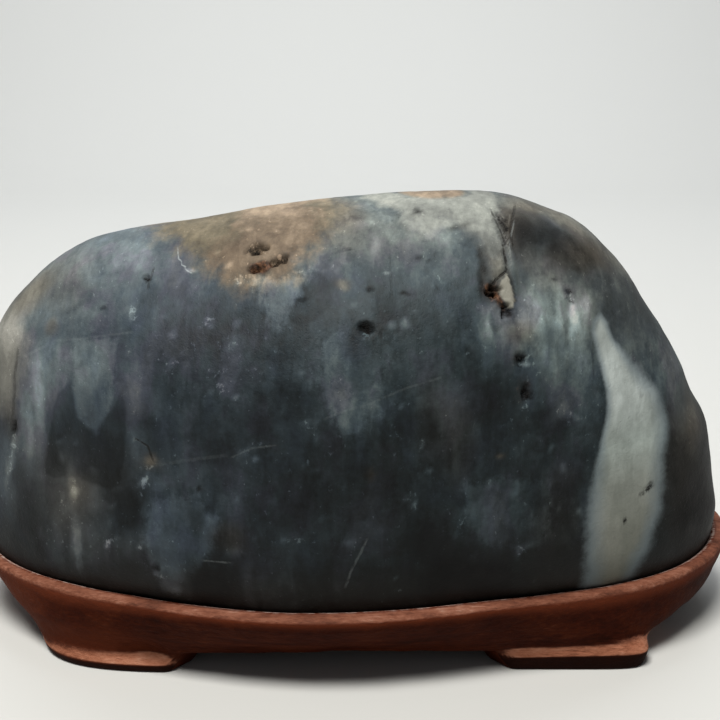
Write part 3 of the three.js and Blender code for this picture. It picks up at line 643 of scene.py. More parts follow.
    (66.3, 37.6, 1, 0.7, 8), (34, 30, 1.2, 1.5, 9), (53.5, 24, 1.7, 1.1, 13, 30),
    (56, 25.5, 1.5, 0.9, 7), (53, 22, 1.1, 0.8, 7), (38.5, 22.5, 1.7, 1, 6),
    (70, 38, 3.5, 8, -3), (65, 20, 6, 8, -1.5), (31, 54, 0.9, 4, -5, 10), (60, 14, 1.5, 3, 3),
    (114, 32, 9, 22, -6), (66, 16, 9, 10, -2),
    # lower middle
    (0.5, 28, 2.1, 1.4, 11), (-12.5, 63.5, 1.4, 0.9, 15, -20), (-9, 63.8, 0.8, 0.7, 12),
    (-11, 64.6, 0.8, 0.6, 10), (-9, 59.5, 0.8, 2, 6), (-19, 69, 0.8, 1, 7),
    (-31.5, 55.5, 2, 0.9, 8, 15), (-29, 57.3, 2.6, 0.6, 7, 10), (-24.5, 58.7, 1.5, 1.2, 7),
    (-26.5, 54.4, 1.1, 0.7, 15), (-12, 52.7, 0.8, 0.7, 11), (-12.3, 51.1, 0.8, 0.8, 11),
    (-10.5, 50.3, 1, 0.9, 6), (-1.6, 43.8, 1, 1.1, 13, 30), (2, 48.5, 0.9, 0.7, 7),
    (18.4, 41.7, 1.4, 1, 10), (20, 39.3, 0.8, 1.3, 18), (22.3, 32.2, 1.1, 1, -8),
    (22.6, 31.3, 1.1, 0.6, 12), (20.5, 27.3, 0.9, 0.6, 10), (-18.5, 29.3, 0.9, 0.8, 10),
    (-14.5, 29.3, 1.1, 0.7, 16), (-28, 29.3, 0.9, 0.6, 6), (-7.5, 35.5, 1.5, 0.7, 7),
    (12, 37.8, 1.2, 0.9, 6), (6.2, 33, 0.9, 1, 5), (15.3, 16.3, 1, 0.7, 16, 20),
    (16, 12, 0.8, 0.7, 11), (-3, 13, 1.2, 2.5, 5, 15), (-3, 9, 1.2, 0.8, 6),
    (-8, 11.8, 1.6, 0.7, 6), (22.7, 59, 0.7, 0.7, 15), (22.8, 57, 0.6, 0.6, 12),
    (24.2, 50.4, 0.8, 0.8, 13), (18.5, 55, 1, 2, 3.5), (16.2, 70.3, 0.8, 0.6, 12),
    (22, 19.5, 1, 1.6, 6, 30), (-34, 25, 2, 1.6, 4), (-41.5, 34.5, 1, 1, 6),
    (-33, 42.5, 1.3, 0.9, 6, -30), (-38, 65, 12, 10, 2), (-15, 42, 20, 8, -0.5),
    (25, 66, 3, 4, -3), (33, 64, 6, 9, 2),
    # back of the stone
    (-60, 190, 26, 30, 6, 10), (-84, 215, 6, 34, 7, 8), (-20, 215, 9, 40, 5, -4),
    (44, 175, 24, 14, 5, -12), (70, 215, 7, 30, 8, 6), (18, 232, 22, 18, -3.5),
    (-46, 235, 16, 14, -3), (100, 195, 12, 22, 3), (-105, 185, 14, 14, 5),
    (5, 188, 5, 22, -5, 10), (-2, 170, 1.4, 1.1, 10), (30, 205, 1.3, 1, 12),
    (-37, 201, 1.2, 1.2, 12), (84, 232, 1.4, 1, 10), (-66, 228, 1.6, 1.2, 10, 30),
]

# Warm tinge
WARM_STROKES = [
    (75, 118, 11, 6, 55), (52, 91.5, 4.5, 4, 50), (45.5, 113, 4.5, 9, 70),
    (88, 112, 30, 24, 30, -40), (-4, 134, 8, 8, 50), (50.5, 128, 4.5, 9, 60),
    (60, 138, 11, 5, 60, -15), (73, 130.5, 8, 5, 50, -35), (58, 131, 7, 6, 50),
    (8, 124, 26, 12, 25), (-2, 128, 8, 12, 30), (61, 112, 8, 8, 30), (-92, 110, 10, 12, 25),
    (-74, 46, 12, 12, 20), (-100, 40, 16, 18, 30), (66, 28, 9, 18, 35), (26, 66, 5, 12, 25),
    (34, 58, 5, 12, 30), (54.5, 122, 4.5, 11, 35), (92, 124, 16, 12, 30), (-36, 29, 5, 5, 50),
    (120, 45, 11, 28, 45), (-118, 85, 10, 16, 50), (-108, 106, 12, 7, 80, 40),
    (-60.5, 51.7, 2.8, 2.2, 90), (-95, 94.5, 3, 3, 50), (-1.6, 106, 2.8, 1.8, 70),
    (6.3, 49, 1.7, 1.5, 90), (47, 54, 1.4, 1, 90), (85, 15, 14, 10, 30), (110, 44, 8, 26, 50),
    (118, 66, 5, 12, 40), (-87, 34, 10, 20, 30), (0, 8, 150, 9, 45), (-112, 66, 3, 9, 40),
    (-86, 43, 4, 6, 25), (-70, 22, 12, 8, 20), (30, 210, 30, 14, 30), (-30, 178, 16, 16, 50),
]

# Rust brown in and around the open pits
RUST_STROKES = [
    (43.9, 104, 2.4, 3, 90, 25), (42.8, 105.3, 1.2, 1, 50, 20), (46, 101, 0.9, 2.4, 80, 20),
    (47.2, 99.6, 1.3, 1.4, 50, 30), (48.6, 97.4, 1.8, 1.8, 30), (-26.8, 112, 3.6, 2.1, 160),
    (51.6, 84.6, 2.6, 2, 45, 20), (53.4, 74, 2.4, 4, 40), (-21, 115, 3.4, 2.4, 60, 20),
    (-28, 119, 3.4, 2.2, 40, -30), (-24, 123, 2.6, 1.1, 45), (-17, 118.5, 1.8, 1.6, 40),
    (-46, 178, 5, 4, 50),
]

# Thin marks: half width in mm, strength, points
PALE_LINES = [
    (0.45, 0.05, [(-4.5, 66.5), (0, 68.3), (5, 69.4), (10, 71.6), (17, 74.6), (27, 77.6)]),
    (0.6, 0.08, [(-104, 85.6), (-99, 87.6)]),
    (0.45, 0.05, [(-92, 90), (-84, 90.3), (-68, 91.8)]),
    (0.26, 0.4, [(-54.7, 118.2), (-54.1, 116.1), (-53, 115.4), (-52.7, 113.9), (-51.4, 113.2),
                 (-51.2, 112.2), (-50.2, 111.6)]),
    (0.45, 0.09, [(5.2, 27), (3.6, 23.4), (1.3, 19), (0, 15.3)]),
    (0.35, 0.12, [(-42.7, 21.7), (-37.6, 21.4)]),
    (0.6, 0.03, [(-57, 51.5), (-48, 53), (-38, 54.4)]),
    (0.4, 0.2, [(-80, 215), (-62, 222), (-40, 224)]),
    (0.4, 0.3, [(24, 178), (40, 186), (52, 190)]),
    (0.35, 0.06, [(-33, 54.8), (-28, 57), (-23, 57.6)]),
    # the line at (52.9, 127) is a painted highlight on the fissure's edge
    (0.3, 0.14, [(52.9, 127), (52.2, 124.8)]), (0.3, 0.1, [(50.7, 119.6), (50.6, 117.6)]),
]
DARK_LINES = [
    (0.35, 0.7, [(-63.6, 58.4), (-61.2, 57.1), (-60.2, 53.9)]),
    (0.7, 0.35, [(-108.6, 86), (-109.4, 80), (-110, 73), (-111, 66)]),
    (0.3, 0.25, [(13, 113.6), (13.3, 104)]),
    (0.35, 0.5, [(-61.9, 111.2), (-62.3, 107.6)]), (0.4, 0.25, [(77.4, 88), (77.6, 80)]),
    (0.4, 0.5, [(-30, 182), (-22, 196), (-19, 214), (-24, 230)]),
    (0.35, 0.4, [(60, 168), (66, 184), (64, 200)]),
    # the last three follow the fissure's cracks: painted shade and dirt in them
    (0.42, 0.8, [(48.6, 118.5), (48.9, 115), (49, 112.3), (48.7, 110.7), (47.2, 109.5),
                (45.5, 108), (44.2, 106.4)]),
    (0.4, 0.6, [(54.9, 134.6), (53.6, 130.9), (52.6, 128), (51.6, 125.3), (51.8, 121)]),
    (0.35, 0.6, [(46.8, 131.6), (47.4, 128.7), (48.5, 124.8), (49.3, 121.2)]),
]

# Small open pores and dark flaws that no pit of the mesh makes; like the pits, they are
# darkened as painted shade and dirt
DARK_SPOTS = [
    (98.1, 42.9, 1.8, 0.9, 120, 40), (96.2, 41.2, 1.4, 0.7, 90, 45), (94.8, 39.8, 0.8, 0.7, 70),
    (89, 32.2, 0.9, 0.8, 120), (94.9, 73, 0.8, 0.6, 50), (-45.3, 43.8, 1, 0.6, 80, 30),
    (-59.3, 18.8, 0.8, 1.1, 90), (-76.5, 100, 1.2, 0.7, 50), (22.5, 132.3, 1.6, 0.7, 60, -25),
    (0.6, 118, 1.3, 0.5, 50, -10), (22, 114.6, 1.3, 0.8, 40, 15), (24.8, 113.6, 0.8, 0.5, 40),
    (7, 104.3, 1.2, 0.6, 50, 12), (17.4, 103.4, 0.9, 0.5, 60), (69, 105, 1.4, 0.9, 70, -20),
    (69.8, 101.8, 1.1, 0.7, 60, -30), (64, 108.5, 0.9, 0.6, 50), (53, 76, 1.2, 0.9, 50),
    (55.2, 72.2, 1.5, 1, 60, 20), (22.3, 32.3, 1.1, 0.6, 60), (-13.8, 101.2, 1.6, 0.8, 50),
    (2.2, 49, 1, 0.7, 40), (23.4, 59.5, 0.8, 0.5, 50), (24.8, 51.4, 0.8, 0.6, 50),
    (44.8, 92.5, 1.6, 0.9, 40), (38, 127, 1.6, 0.7, 40, 20), (34, 125.6, 2.6, 1, 45, 25),
    (20.7, 131, 0.9, 0.6, 40), (60.5, 70.5, 1, 0.7, 30), (-18, 188, 1.5, 1, 60),
    (34, 214, 1.6, 1.1, 60, 20), (-92, 206, 1.2, 1.6, 50), (88, 172, 1.4, 1, 50),
    (50.4, 125.8, 1.2, 1.4, 110), (49.2, 128.6, 1.1, 2.4, 100, 12), (51, 129.2, 0.8, 2, 70),
    (48, 131.2, 0.8, 1.6, 70, 10), (40.9, 116.6, 0.9, 2.2, 50, 6),
    (41.9, 111, 0.9, 2.6, 50, 12), (16.2, 130, 0.8, 2.2, 35, 25), (18.6, 125, 0.8, 2.4, 30, 25),
]

# Where pale flakes gather
FLAKES = [
    (-62.7, 45.5, 2.6, 3.4, 100), (-60.5, 51.6, 3.2, 1.6, 60), (-111, 56, 1.8, 4.5, 90, -14),
    (-113.5, 48, 2, 7, 45, -14), (-75.5, 26, 2.2, 1.8, 100, 30), (-64.6, 25.4, 1.6, 1.2, 100),
    (-59.3, 16.3, 2.2, 1.4, 90), (-87, 42.5, 2.6, 3.4, 55), (-92.5, 36, 1.6, 6, 40),
    (5.6, 90.8, 2.4, 1, 90), (54, 82.8, 2.2, 1.6, 80), (54.3, 69.8, 1.8, 1.4, 60),
    (69.6, 103.2, 1.6, 2.2, 90), (51.6, 82.6, 1.8, 1.2, 70), (54, 77.5, 1.4, 1.4, 60),
    (-12, 63.8, 3.6, 1.6, 70, -20), (-29, 56.3, 6, 1.8, 45, 15), (-12, 52, 1.6, 2, 60),
    (20, 39.6, 1.6, 2.4, 80), (18.4, 41.7, 2, 1.4, 50), (53.7, 24, 3.4, 1.8, 65, 25),
    (43.6, 45, 1.6, 1.8, 70, 30), (68, 66.6, 3.6, 3, 50, -20), (51.5, 56, 1.6, 5, 35, -25),
    (58, 59, 4, 1.4, 35), (-21, 85.6, 1, 1, 100), (-43, 94.8, 2.8, 2.2, 55),
    (-34.5, 87, 3, 3.6, 45), (-52.5, 81.5, 3.2, 2.2, 50), (-38, 76, 3, 3.6, 40),
    (-32.3, 72.3, 1.6, 1.4, 60), (-66.8, 98.2, 2.4, 2.8, 60), (-33.5, 108, 2.6, 2.2, 60),
    (-1.6, 106, 2.4, 1.8, 35, -30), (12, 108.7, 1.4, 0.9, 90), (15.3, 16.2, 1.6, 1.2, 90, 20),
    (-14.5, 29.4, 1.6, 1.1, 80), (-18.5, 29.3, 1.4, 1.1, 50), (42.5, 103.4, 1.6, 1, 70),
    (-21.5, 114.5, 3.6, 2, 90, 20), (-28, 119, 3, 2, 90, -30), (66, 128, 1.6, 1, 40),
    (86, 112, 1, 1.4, 60), (22.8, 58.2, 1, 1.8, 90), (24.2, 50.4, 1.2, 1, 90),
    (16, 12, 1.2, 1, 80), (34.8, 32, 2, 4, 40), (-35, 85, 9, 12, 12), (-50, 30, 10, 12, 8),
    (-90, 25, 12, 12, 14), (20, 200, 12, 16, 30), (-60, 214, 12, 12, 30),
]

# Grey of the bare rock by chart height, as the share of white in a printed tone; its fall
# towards the base on both faces is painted shade
ROCK_TONE_HEIGHTS = [0, 20, 45, 70, 90, 105, 120, 140, 170, 200, 230, 270]
ROCK_AND_SHADE_TONES = [0.07, 0.10, 0.14, 0.18, 0.22, 0.265, 0.32, 0.36, 0.32, 0.27, 0.20, 0.12]


def add_node(tree, kind, settings=None, inputs=None, stops=None):
    """Adds one shader node and gives back its outputs. settings: properties; inputs: input name
    or number to a number, a vector, an sRGB hex or the output that feeds it; stops: place and
    colour of each stop of a ramp."""
    node = tree.nodes.new("ShaderNode" + kind)
    for key, value in (settings or {}).items():
        setattr(node, key, value)
    for key, value in (inputs or {}).items():
        if isinstance(value, bpy.types.NodeSocket):
            tree.links.new(value, node.inputs[key])
        else:
            is_hex = isinstance(value, str)
            node.inputs[key].default_value = to_linear(value) if is_hex else value
    for _ in (stops or [])[2:]:
        node.color_ramp.elements.new(0.5)
    for stop, (place, colour) in zip(node.color_ramp.elements if stops else [], stops or []):
        stop.position = place
        stop.color = to_linear(colour)
    return node.outputs


# Settings that many nodes share
SCALE = {"operation": "SCALE"}
ADD = {"operation": "ADD"}
TIMES = {"operation": "MULTIPLY"}
TIMES_ADD = {"operation": "MULTIPLY_ADD"}
TIMES_CLIPPED = {"operation": "MULTIPLY", "use_clamp": True}
STEP = {"interpolation_type": "SMOOTHSTEP"}
COLOURS = {"data_type": "RGBA"}
TINT = {"data_type": "RGBA", "blend_type": "MULTIPLY"}


def new_material(name):
    """An empty node material."""
    material = bpy.data.materials.new(name)
    material.use_nodes = True
    material.node_tree.nodes.clear()
    return material, material.node_tree


def stone_material():
    """Fine-grained metamorphic river stone, tumbled by water and rubbed by hand: satin where
    the grain is tight, duller in pits; veils of paler mineral hang in blue-grey rock, a quartz
    vein crosses one end, and iron has stained the top and the pits."""
    material, tree = new_material("water-worn fine-grained river stone")
    add = functools.partial(add_node, tree)
    field = {name: add("Attribute", {"attribute_name": name})["Fac"] for name in (
        "tone", "warm", "rust", "flakes", "vein", "ochre", "ochre_pink", "pale_top", "plug",
        "cream", "hollow", "crack", "dark_side", "dark_near", "pale_side", "pale_near",
        "dark_lobe", "dark_lift", "pale_lobe", "pale_lift")}
    coords = add("TexCoord")["Object"]
    place = add("VectorMath", SCALE, {0: coords, "Scale": 1 / MM})[0]

    # swings around zero, each with its size in mm, detail, roughness and squeeze per axis:
    # clouds, hanging streaks, mottling, grain and the finest grain
    swings = {}
    for name, size, detail, roughness, squeeze in (
            ("clouds", 24, 4, 0.55, (1, 0.6, 0.7)), ("streaks", 3.2, 4, 0.6, (1, 0.35, 0.2)),
            ("mottle", 6, 5, 0.62, (1, 0.5, 1)), ("speckle", 1.3, 3, 0.7, (1, 0.6, 1)),
            ("fine", 0.45, 2, 0.6, (1, 1, 1)), ("flecks", 1.5, 3, 0.65, (1, 0.6, 0.8)),
            ("hue", 13, 4, 0.6, (1, 0.6, 0.6))):
        squeezed = add("VectorMath", TIMES, {0: place, 1: squeeze})[0]
        noise = add("TexNoise", None, {"Vector": squeezed, "Scale": 1 / size, "Detail": detail,
                                       "Roughness": roughness})[0]
        swings[name] = add("Math", ADD, {0: noise, 1: -0.5})[0]

    # patches with a fairly clear edge, 8 mm and 3 mm wide and drawn out downwards: -0.5 or 0.5
    for name, size, squeeze, low, high in (("veils", 8, (1, 0.4, 0.45), 0.455, 0.535),
                                           ("blots", 3.2, (1, 0.5, 0.7), 0.46, 0.55)):
        squeezed = add("VectorMath", TIMES, {0: place, 1: squeeze})[0]
        noise = add("TexNoise", None, {"Vector": squeezed, "Scale": 1 / size, "Detail": 3.0,
                                       "Roughness": 0.5, "Distortion": 0.5})[0]
        patch = add("MapRange", STEP, {"Value": noise, "From Min": low, "From Max": high})[0]
        swings[name] = add("Math", ADD, {0: patch, 1: -0.5})[0]

    # dark lobes and pale veils: a distance over the softness of the edge, frayed downwards
    tone = field["tone"]
    for name in ("dark", "pale"):
        edge = field[name + "_lobe"]
        for part, amount in (("streaks", 3.0), ("mottle", 2.0), ("speckle", 1.5)):
            edge = add("Math", TIMES_ADD, {0: swings[part], 1: amount, 2: edge})[0]
        share = add("MapRange", STEP, {"Value": edge, "From Min": -0.7, "From Max": 0.7})[0]
        tone = add("Math", TIMES_ADD, {0: share, 1: field[name + "_lift"], 2: tone})[0]

    swing = 0.0
    for name, amount in (("clouds", 0.26), ("streaks", 0.16), ("mottle", 0.22),
                         ("speckle", 0.10), ("veils", 0.030), ("blots", 0.016)):
        swing = add("Math", TIMES_ADD, {0: swings[name], 1: amount, 2: swing})[0]
    # the left end is rubbed calmer than the rest
    across, _, height = add("SeparateXYZ", None, {0: place})
    calm = add("MapRange", STEP, {"Value": across, "From Min": -30.0, "From Max": -75.0,
                                  "To Min": 1.0, "To Max": 0.72})[0]
    strength = add("Math", TIMES_ADD, {0: tone, 1: 2.1, 2: 0.36})[0]
    strength = add("Math", TIMES, {0: strength, 1: calm})[0]
    tone = add("Math", TIMES_ADD, {0: swing, 1: strength, 2: tone})[0]

    # flakes of pale mineral 0.5 to 2 mm across lift the tone where they gather
    chip = add("Math", TIMES_ADD, {0: field["flakes"], 1: 0.20, 2: swings["flecks"]})[0]
    chip = add("MapRange", STEP, {"Value": chip, "From Min": 0.13, "From Max": 0.27})[0]
    tone = add("Math", TIMES_ADD, {0: chip, 1: 0.16, 2: tone})[0]
    level = add("Math", TIMES_CLIPPED, {0: tone, 1: 1.25})[0]

    rock = add("ValToRGB", None, {0: level}, [
        (0.0, "#040405"), (0.12, "#131617"), (0.19, "#1f2427"), (0.25, "#2a3135"),
        (0.375, "#41494f"), (0.5, "#5d6568"), (0.625, "#798284"), (0.75, "#929da0"),
        (0.875, "#adb8bb"), (1.0, "#cbcfd0")])[0]
    hue = add("MapRange", None, {"Value": swings["hue"], "From Min": -0.5, "From Max": 0.5})[0]
    hue = add("ValToRGB", None, {0: hue}, [
        (0.34, "#dde5ed"), (0.43, "#dfebea"), (0.51, "#e7efe9"), (0.6, "#efe8ee"),
        (0.7, "#f3ebe6")])[0]
    rock = add("Mix", TINT, {0: 0.9, 6: rock, 7: hue})[2]
    # the left half is a little more violet
    share = add("MapRange", STEP, {"Value": across, "From Min": 14.0, "From Max": -36.0})[0]
    rock = add("Mix", TINT, {0: share, 6: rock, 7: "#fbf8ff"})[2]
    warm = add("ValToRGB", None, {0: level}, [
        (0.0, "#080604"), (0.16, "#1f1c17"), (0.375, "#4d4840"), (0.625, "#858072"),
        (1.0, "#ccc4b2")])[0]
    share = add("Math", TIMES_CLIPPED, {0: field["warm"], 1: 1.0})[0]
    rock = add("Mix", COLOURS, {0: share, 6: rock, 7: warm})[2]

    # the iron-stained cap, the bleached cap and the creamy left end have their own scales of
    # tone; their edges wander by some millimetres with the mottling and the clouds
    ragged = add("Math", TIMES, {0: swings["mottle"], 1: 20.0})[0]
    ragged = add("Math", TIMES_ADD, {0: swings["clouds"], 1: 18.0, 2: ragged})[0]
    ragged = add("Math", TIMES_ADD, {0: swings["veils"], 1: 2.0, 2: ragged})[0]
    ochre = add("ValToRGB", None, {0: level}, [
        (0.0, "#1c1710"), (0.3, "#433c30"), (0.45, "#655d4c"), (0.6, "#8a7e69"),
        (0.8, "#b3a48b"), (1.0, "#d8cab2")])[0]
    pink = add("ValToRGB", None, {0: level}, [
        (0.0, "#1f160e"), (0.3, "#463a2e"), (0.45, "#6a5c4c"), (0.6, "#92816d"),
        (0.8, "#bba78e"), (1.0, "#dfccb2")])[0]
    edge = add("Math", ADD, {0: field["ochre_pink"], 1: ragged})[0]
    share = add("MapRange", STEP, {"Value": edge, "From Min": -4.0, "From Max": 5.0})[0]
    ochre = add("Mix", COLOURS, {0: share, 6: ochre, 7: pink})[2]
    for name, wander, low, high, most, scale in (
            ("ochre", 0.75, -6.0, 4.5, 1.0, None),
            ("pale_top", 0.5, -3.5, 4.5, 1.0, [
                (0.2, "#373936"), (0.4, "#61635f"), (0.6, "#8a8d86"), (0.75, "#a7a89f"),
                (0.95, "#cbcbc1")]),
            ("cream", 0.4, -6.0, 5.0, 0.9, [
                (0.2, "#3a3935"), (0.5, "#74736c"), (0.7, "#9f9d95"), (0.9, "#c4c2ba")])):
        own = add("ValToRGB", None, {0: level}, scale)[0] if scale else ochre
        edge = add("Math", TIMES_ADD, {0: ragged, 1: wander, 2: field[name]})[0]
        share = add("MapRange", STEP, {"Value": edge, "From Min": low, "From Max": high,
                                       "To Max": most})[0]
        rock = add("Mix", COLOURS, {0: share, 6: rock, 7: own})[2]

    # quartz vein: cool and pale above, dimmer and yellower below, crossed by hanging veils,
    # with a bluish fringe where it thins out
    height = add("Math", TIMES_CLIPPED, {0: height, 1: 0.01})[0]
    vein = add("ValToRGB", None, {0: height}, [
        (0.20, "#54544c"), (0.34, "#626259"), (0.5, "#7d7e76"), (0.64, "#90948d"),
        (0.76, "#a1aaa5"), (0.9, "#bac2bf")])[0]
    veil = 0.2
    for name, amount in (("mottle", 0.5), ("clouds", 1.2), ("streaks", 0.45), ("veils", 0.14)):
        veil = add("Math", TIMES_ADD, {0: swings[name], 1: amount, 2: veil})[0]
    veil = add("Math", TIMES_CLIPPED, {0: veil, 1: 1.0})[0]
    vein = add("Mix", COLOURS, {0: veil, 6: vein, 7: "#4b5048"})[2]
    edge = add("Math", TIMES_ADD, {0: swings["mottle"], 1: 1.4, 2: field["vein"]})[0]
    edge = add("Math", TIMES_ADD, {0: swings["speckle"], 1: 0.5, 2: edge})[0]
    fringe = add("Mix", COLOURS, {0: 0.6, 6: vein, 7: "#56656f"})[2]
    share = add("MapRange", STEP, {"Value": edge, "From Min": 0.0, "From Max": 2.8})[0]
    vein = add("Mix", COLOURS, {0: share, 6: fringe, 7: vein})[2]
    share = add("MapRange", STEP, {"Value": edge, "From Min": -0.9, "From Max": 0.8})[0]
    rock = add("Mix", COLOURS, {0: share, 6: rock, 7: vein})[2]
    edge = add("Math", TIMES_ADD, {0: swings["speckle"], 1: 1.2, 2: field["plug"]})[0]
    share = add("MapRange", STEP, {"Value": edge, "From Min": -0.4, "From Max": 0.5})[0]
    plug = add("Mix", COLOURS, {0: chip, 6: "#848278", 7: "#a19e95"})[2]
    rock = add("Mix", COLOURS, {0: share, 6: rock, 7: plug})[2]

    # rust in and around the pits, shade and dirt in hollows and cracks, worn pale ridges
    rust = add("Math", TIMES_ADD, {0: swings["speckle"], 1: 0.9, 2: 0.30})[0]
    rust = add("Math", TIMES_ADD, {0: swings["flecks"], 1: 1.1, 2: rust})[0]
    rust = add("Math", TIMES_ADD, {0: field["rust"], 1: 0.26, 2: rust})[0]
    rust = add("ValToRGB", None, {0: rust}, [
        (0.15, "#120d09"), (0.42, "#281d14"), (0.60, "#463124"), (0.75, "#694934"),
        (0.92, "#8f7254")])[0]
    share = add("Math", TIMES_CLIPPED, {0: field["rust"], 1: 1.0})[0]
    rock = add("Mix", COLOURS, {0: share, 6: rock, 7: rust})[2]
    open_rock = add("Math", TIMES_ADD, {0: field["rust"], 1: -0.5, 2: 0.85})[0]
    open_rock = add("Math", TIMES_ADD, {0: swings["speckle"], 1: 3.6, 2: open_rock})[0]
    open_rock = add("Math", TIMES_ADD, {0: chip, 1: -0.8, 2: open_rock})[0]
    share = add("Math", TIMES_CLIPPED, {0: field["hollow"], 1: open_rock})[0]
    rock = add("Mix", COLOURS, {0: share, 6: rock, 7: "#0d0b0a"})[2]
    crack = add("Math", TIMES_ADD, {0: swings["speckle"], 1: 0.9, 2: 1.0})[0]
    crack = add("Math", TIMES, {0: field["crack"], 1: crack})[0]
    share = add("Math", TIMES_CLIPPED, {0: crack, 1: 0.9})[0]
    rock = add("Mix", COLOURS, {0: share, 6: rock, 7: "#1a1711"})[2]
    share = add("Math", TIMES_CLIPPED, {0: crack, 1: -0.9})[0]
    rock = add("Mix", COLOURS, {0: share, 6: rock, 7: "#aaa89d"})[2]

    # thin dark lines and pale scratches, each a band around the zero of a signed distance,
    # broken up by the grain; the dark lines in the fissure's cracks are painted shade and dirt,
    # and one pale line is a painted highlight
    marks = {}
    for name, inner, outer, colour in (("dark", 0.5, 1.25, "#15120e"),
                                       ("pale", 0.3, 1.2, "#aab2b2")):
        across = add("Math", TIMES_ADD, {0: swings["speckle"], 1: 1.8,
                                         2: field[name + "_side"]})[0]
        across = add("Math", {"operation": "ABSOLUTE"}, {0: across})[0]
        band = add("MapRange", STEP, {"Value": across, "From Min": inner, "From Max": outer,
                                      "To Min": 1.0, "To Max": 0.0})[0]
        broken = add("Math", TIMES_ADD, {0: swings["flecks"], 1: 5.0, 2: 1.0})[0]
        band = add("Math", TIMES_CLIPPED, {0: band, 1: broken})[0]
        marks[name] = add("Math", TIMES, {0: band, 1: field[name + "_near"]})[0]
        rock = add("Mix", COLOURS, {0: marks[name], 6: rock, 7: colour})[2]

    # relief too fine for the mesh, in mm: grain, pinholes 0.5 mm across, rough pit floors
    holes = add("TexVoronoi", None, {"Vector": place, "Scale": 1 / 2.3})["Distance"]
    hole = add("MapRange", STEP, {"Value": holes, "From Min": 0.05, "From Max": 0.2,
                                  "To Min": 1.0, "To Max": 0.0})[0]
    rough_floor = add("Math", TIMES, {0: field["hollow"], 1: swings["speckle"]})[0]
    relief = 0.0
    for part, amount in ((swings["mottle"], 0.32), (swings["speckle"], 0.15), (hole, -0.05),
                         (swings["fine"], 0.05), (marks["dark"], -0.25), (rough_floor, 1.0),
                         (chip, 0.04)):
        relief = add("Math", TIMES_ADD, {0: part, 1: amount, 2: relief})[0]
    bump = add("Bump", None, {"Strength": 1.0, "Distance": MM, "Height": relief})[0]
    roughness = add("Math", TIMES_ADD, {0: swings["mottle"], 1: 0.25, 2: 0.58})[0]
    roughness = add("Math", TIMES_ADD, {0: field["hollow"], 1: 0.25, 2: roughness})[0]
    shader = add("BsdfPrincipled", None, {
        "Base Color": rock, "Roughness": roughness, "Normal": bump, "IOR": 1.5,
        "Specular IOR Level": 0.15})[0]
    add("OutputMaterial", None, {"Surface": shader})
    return material


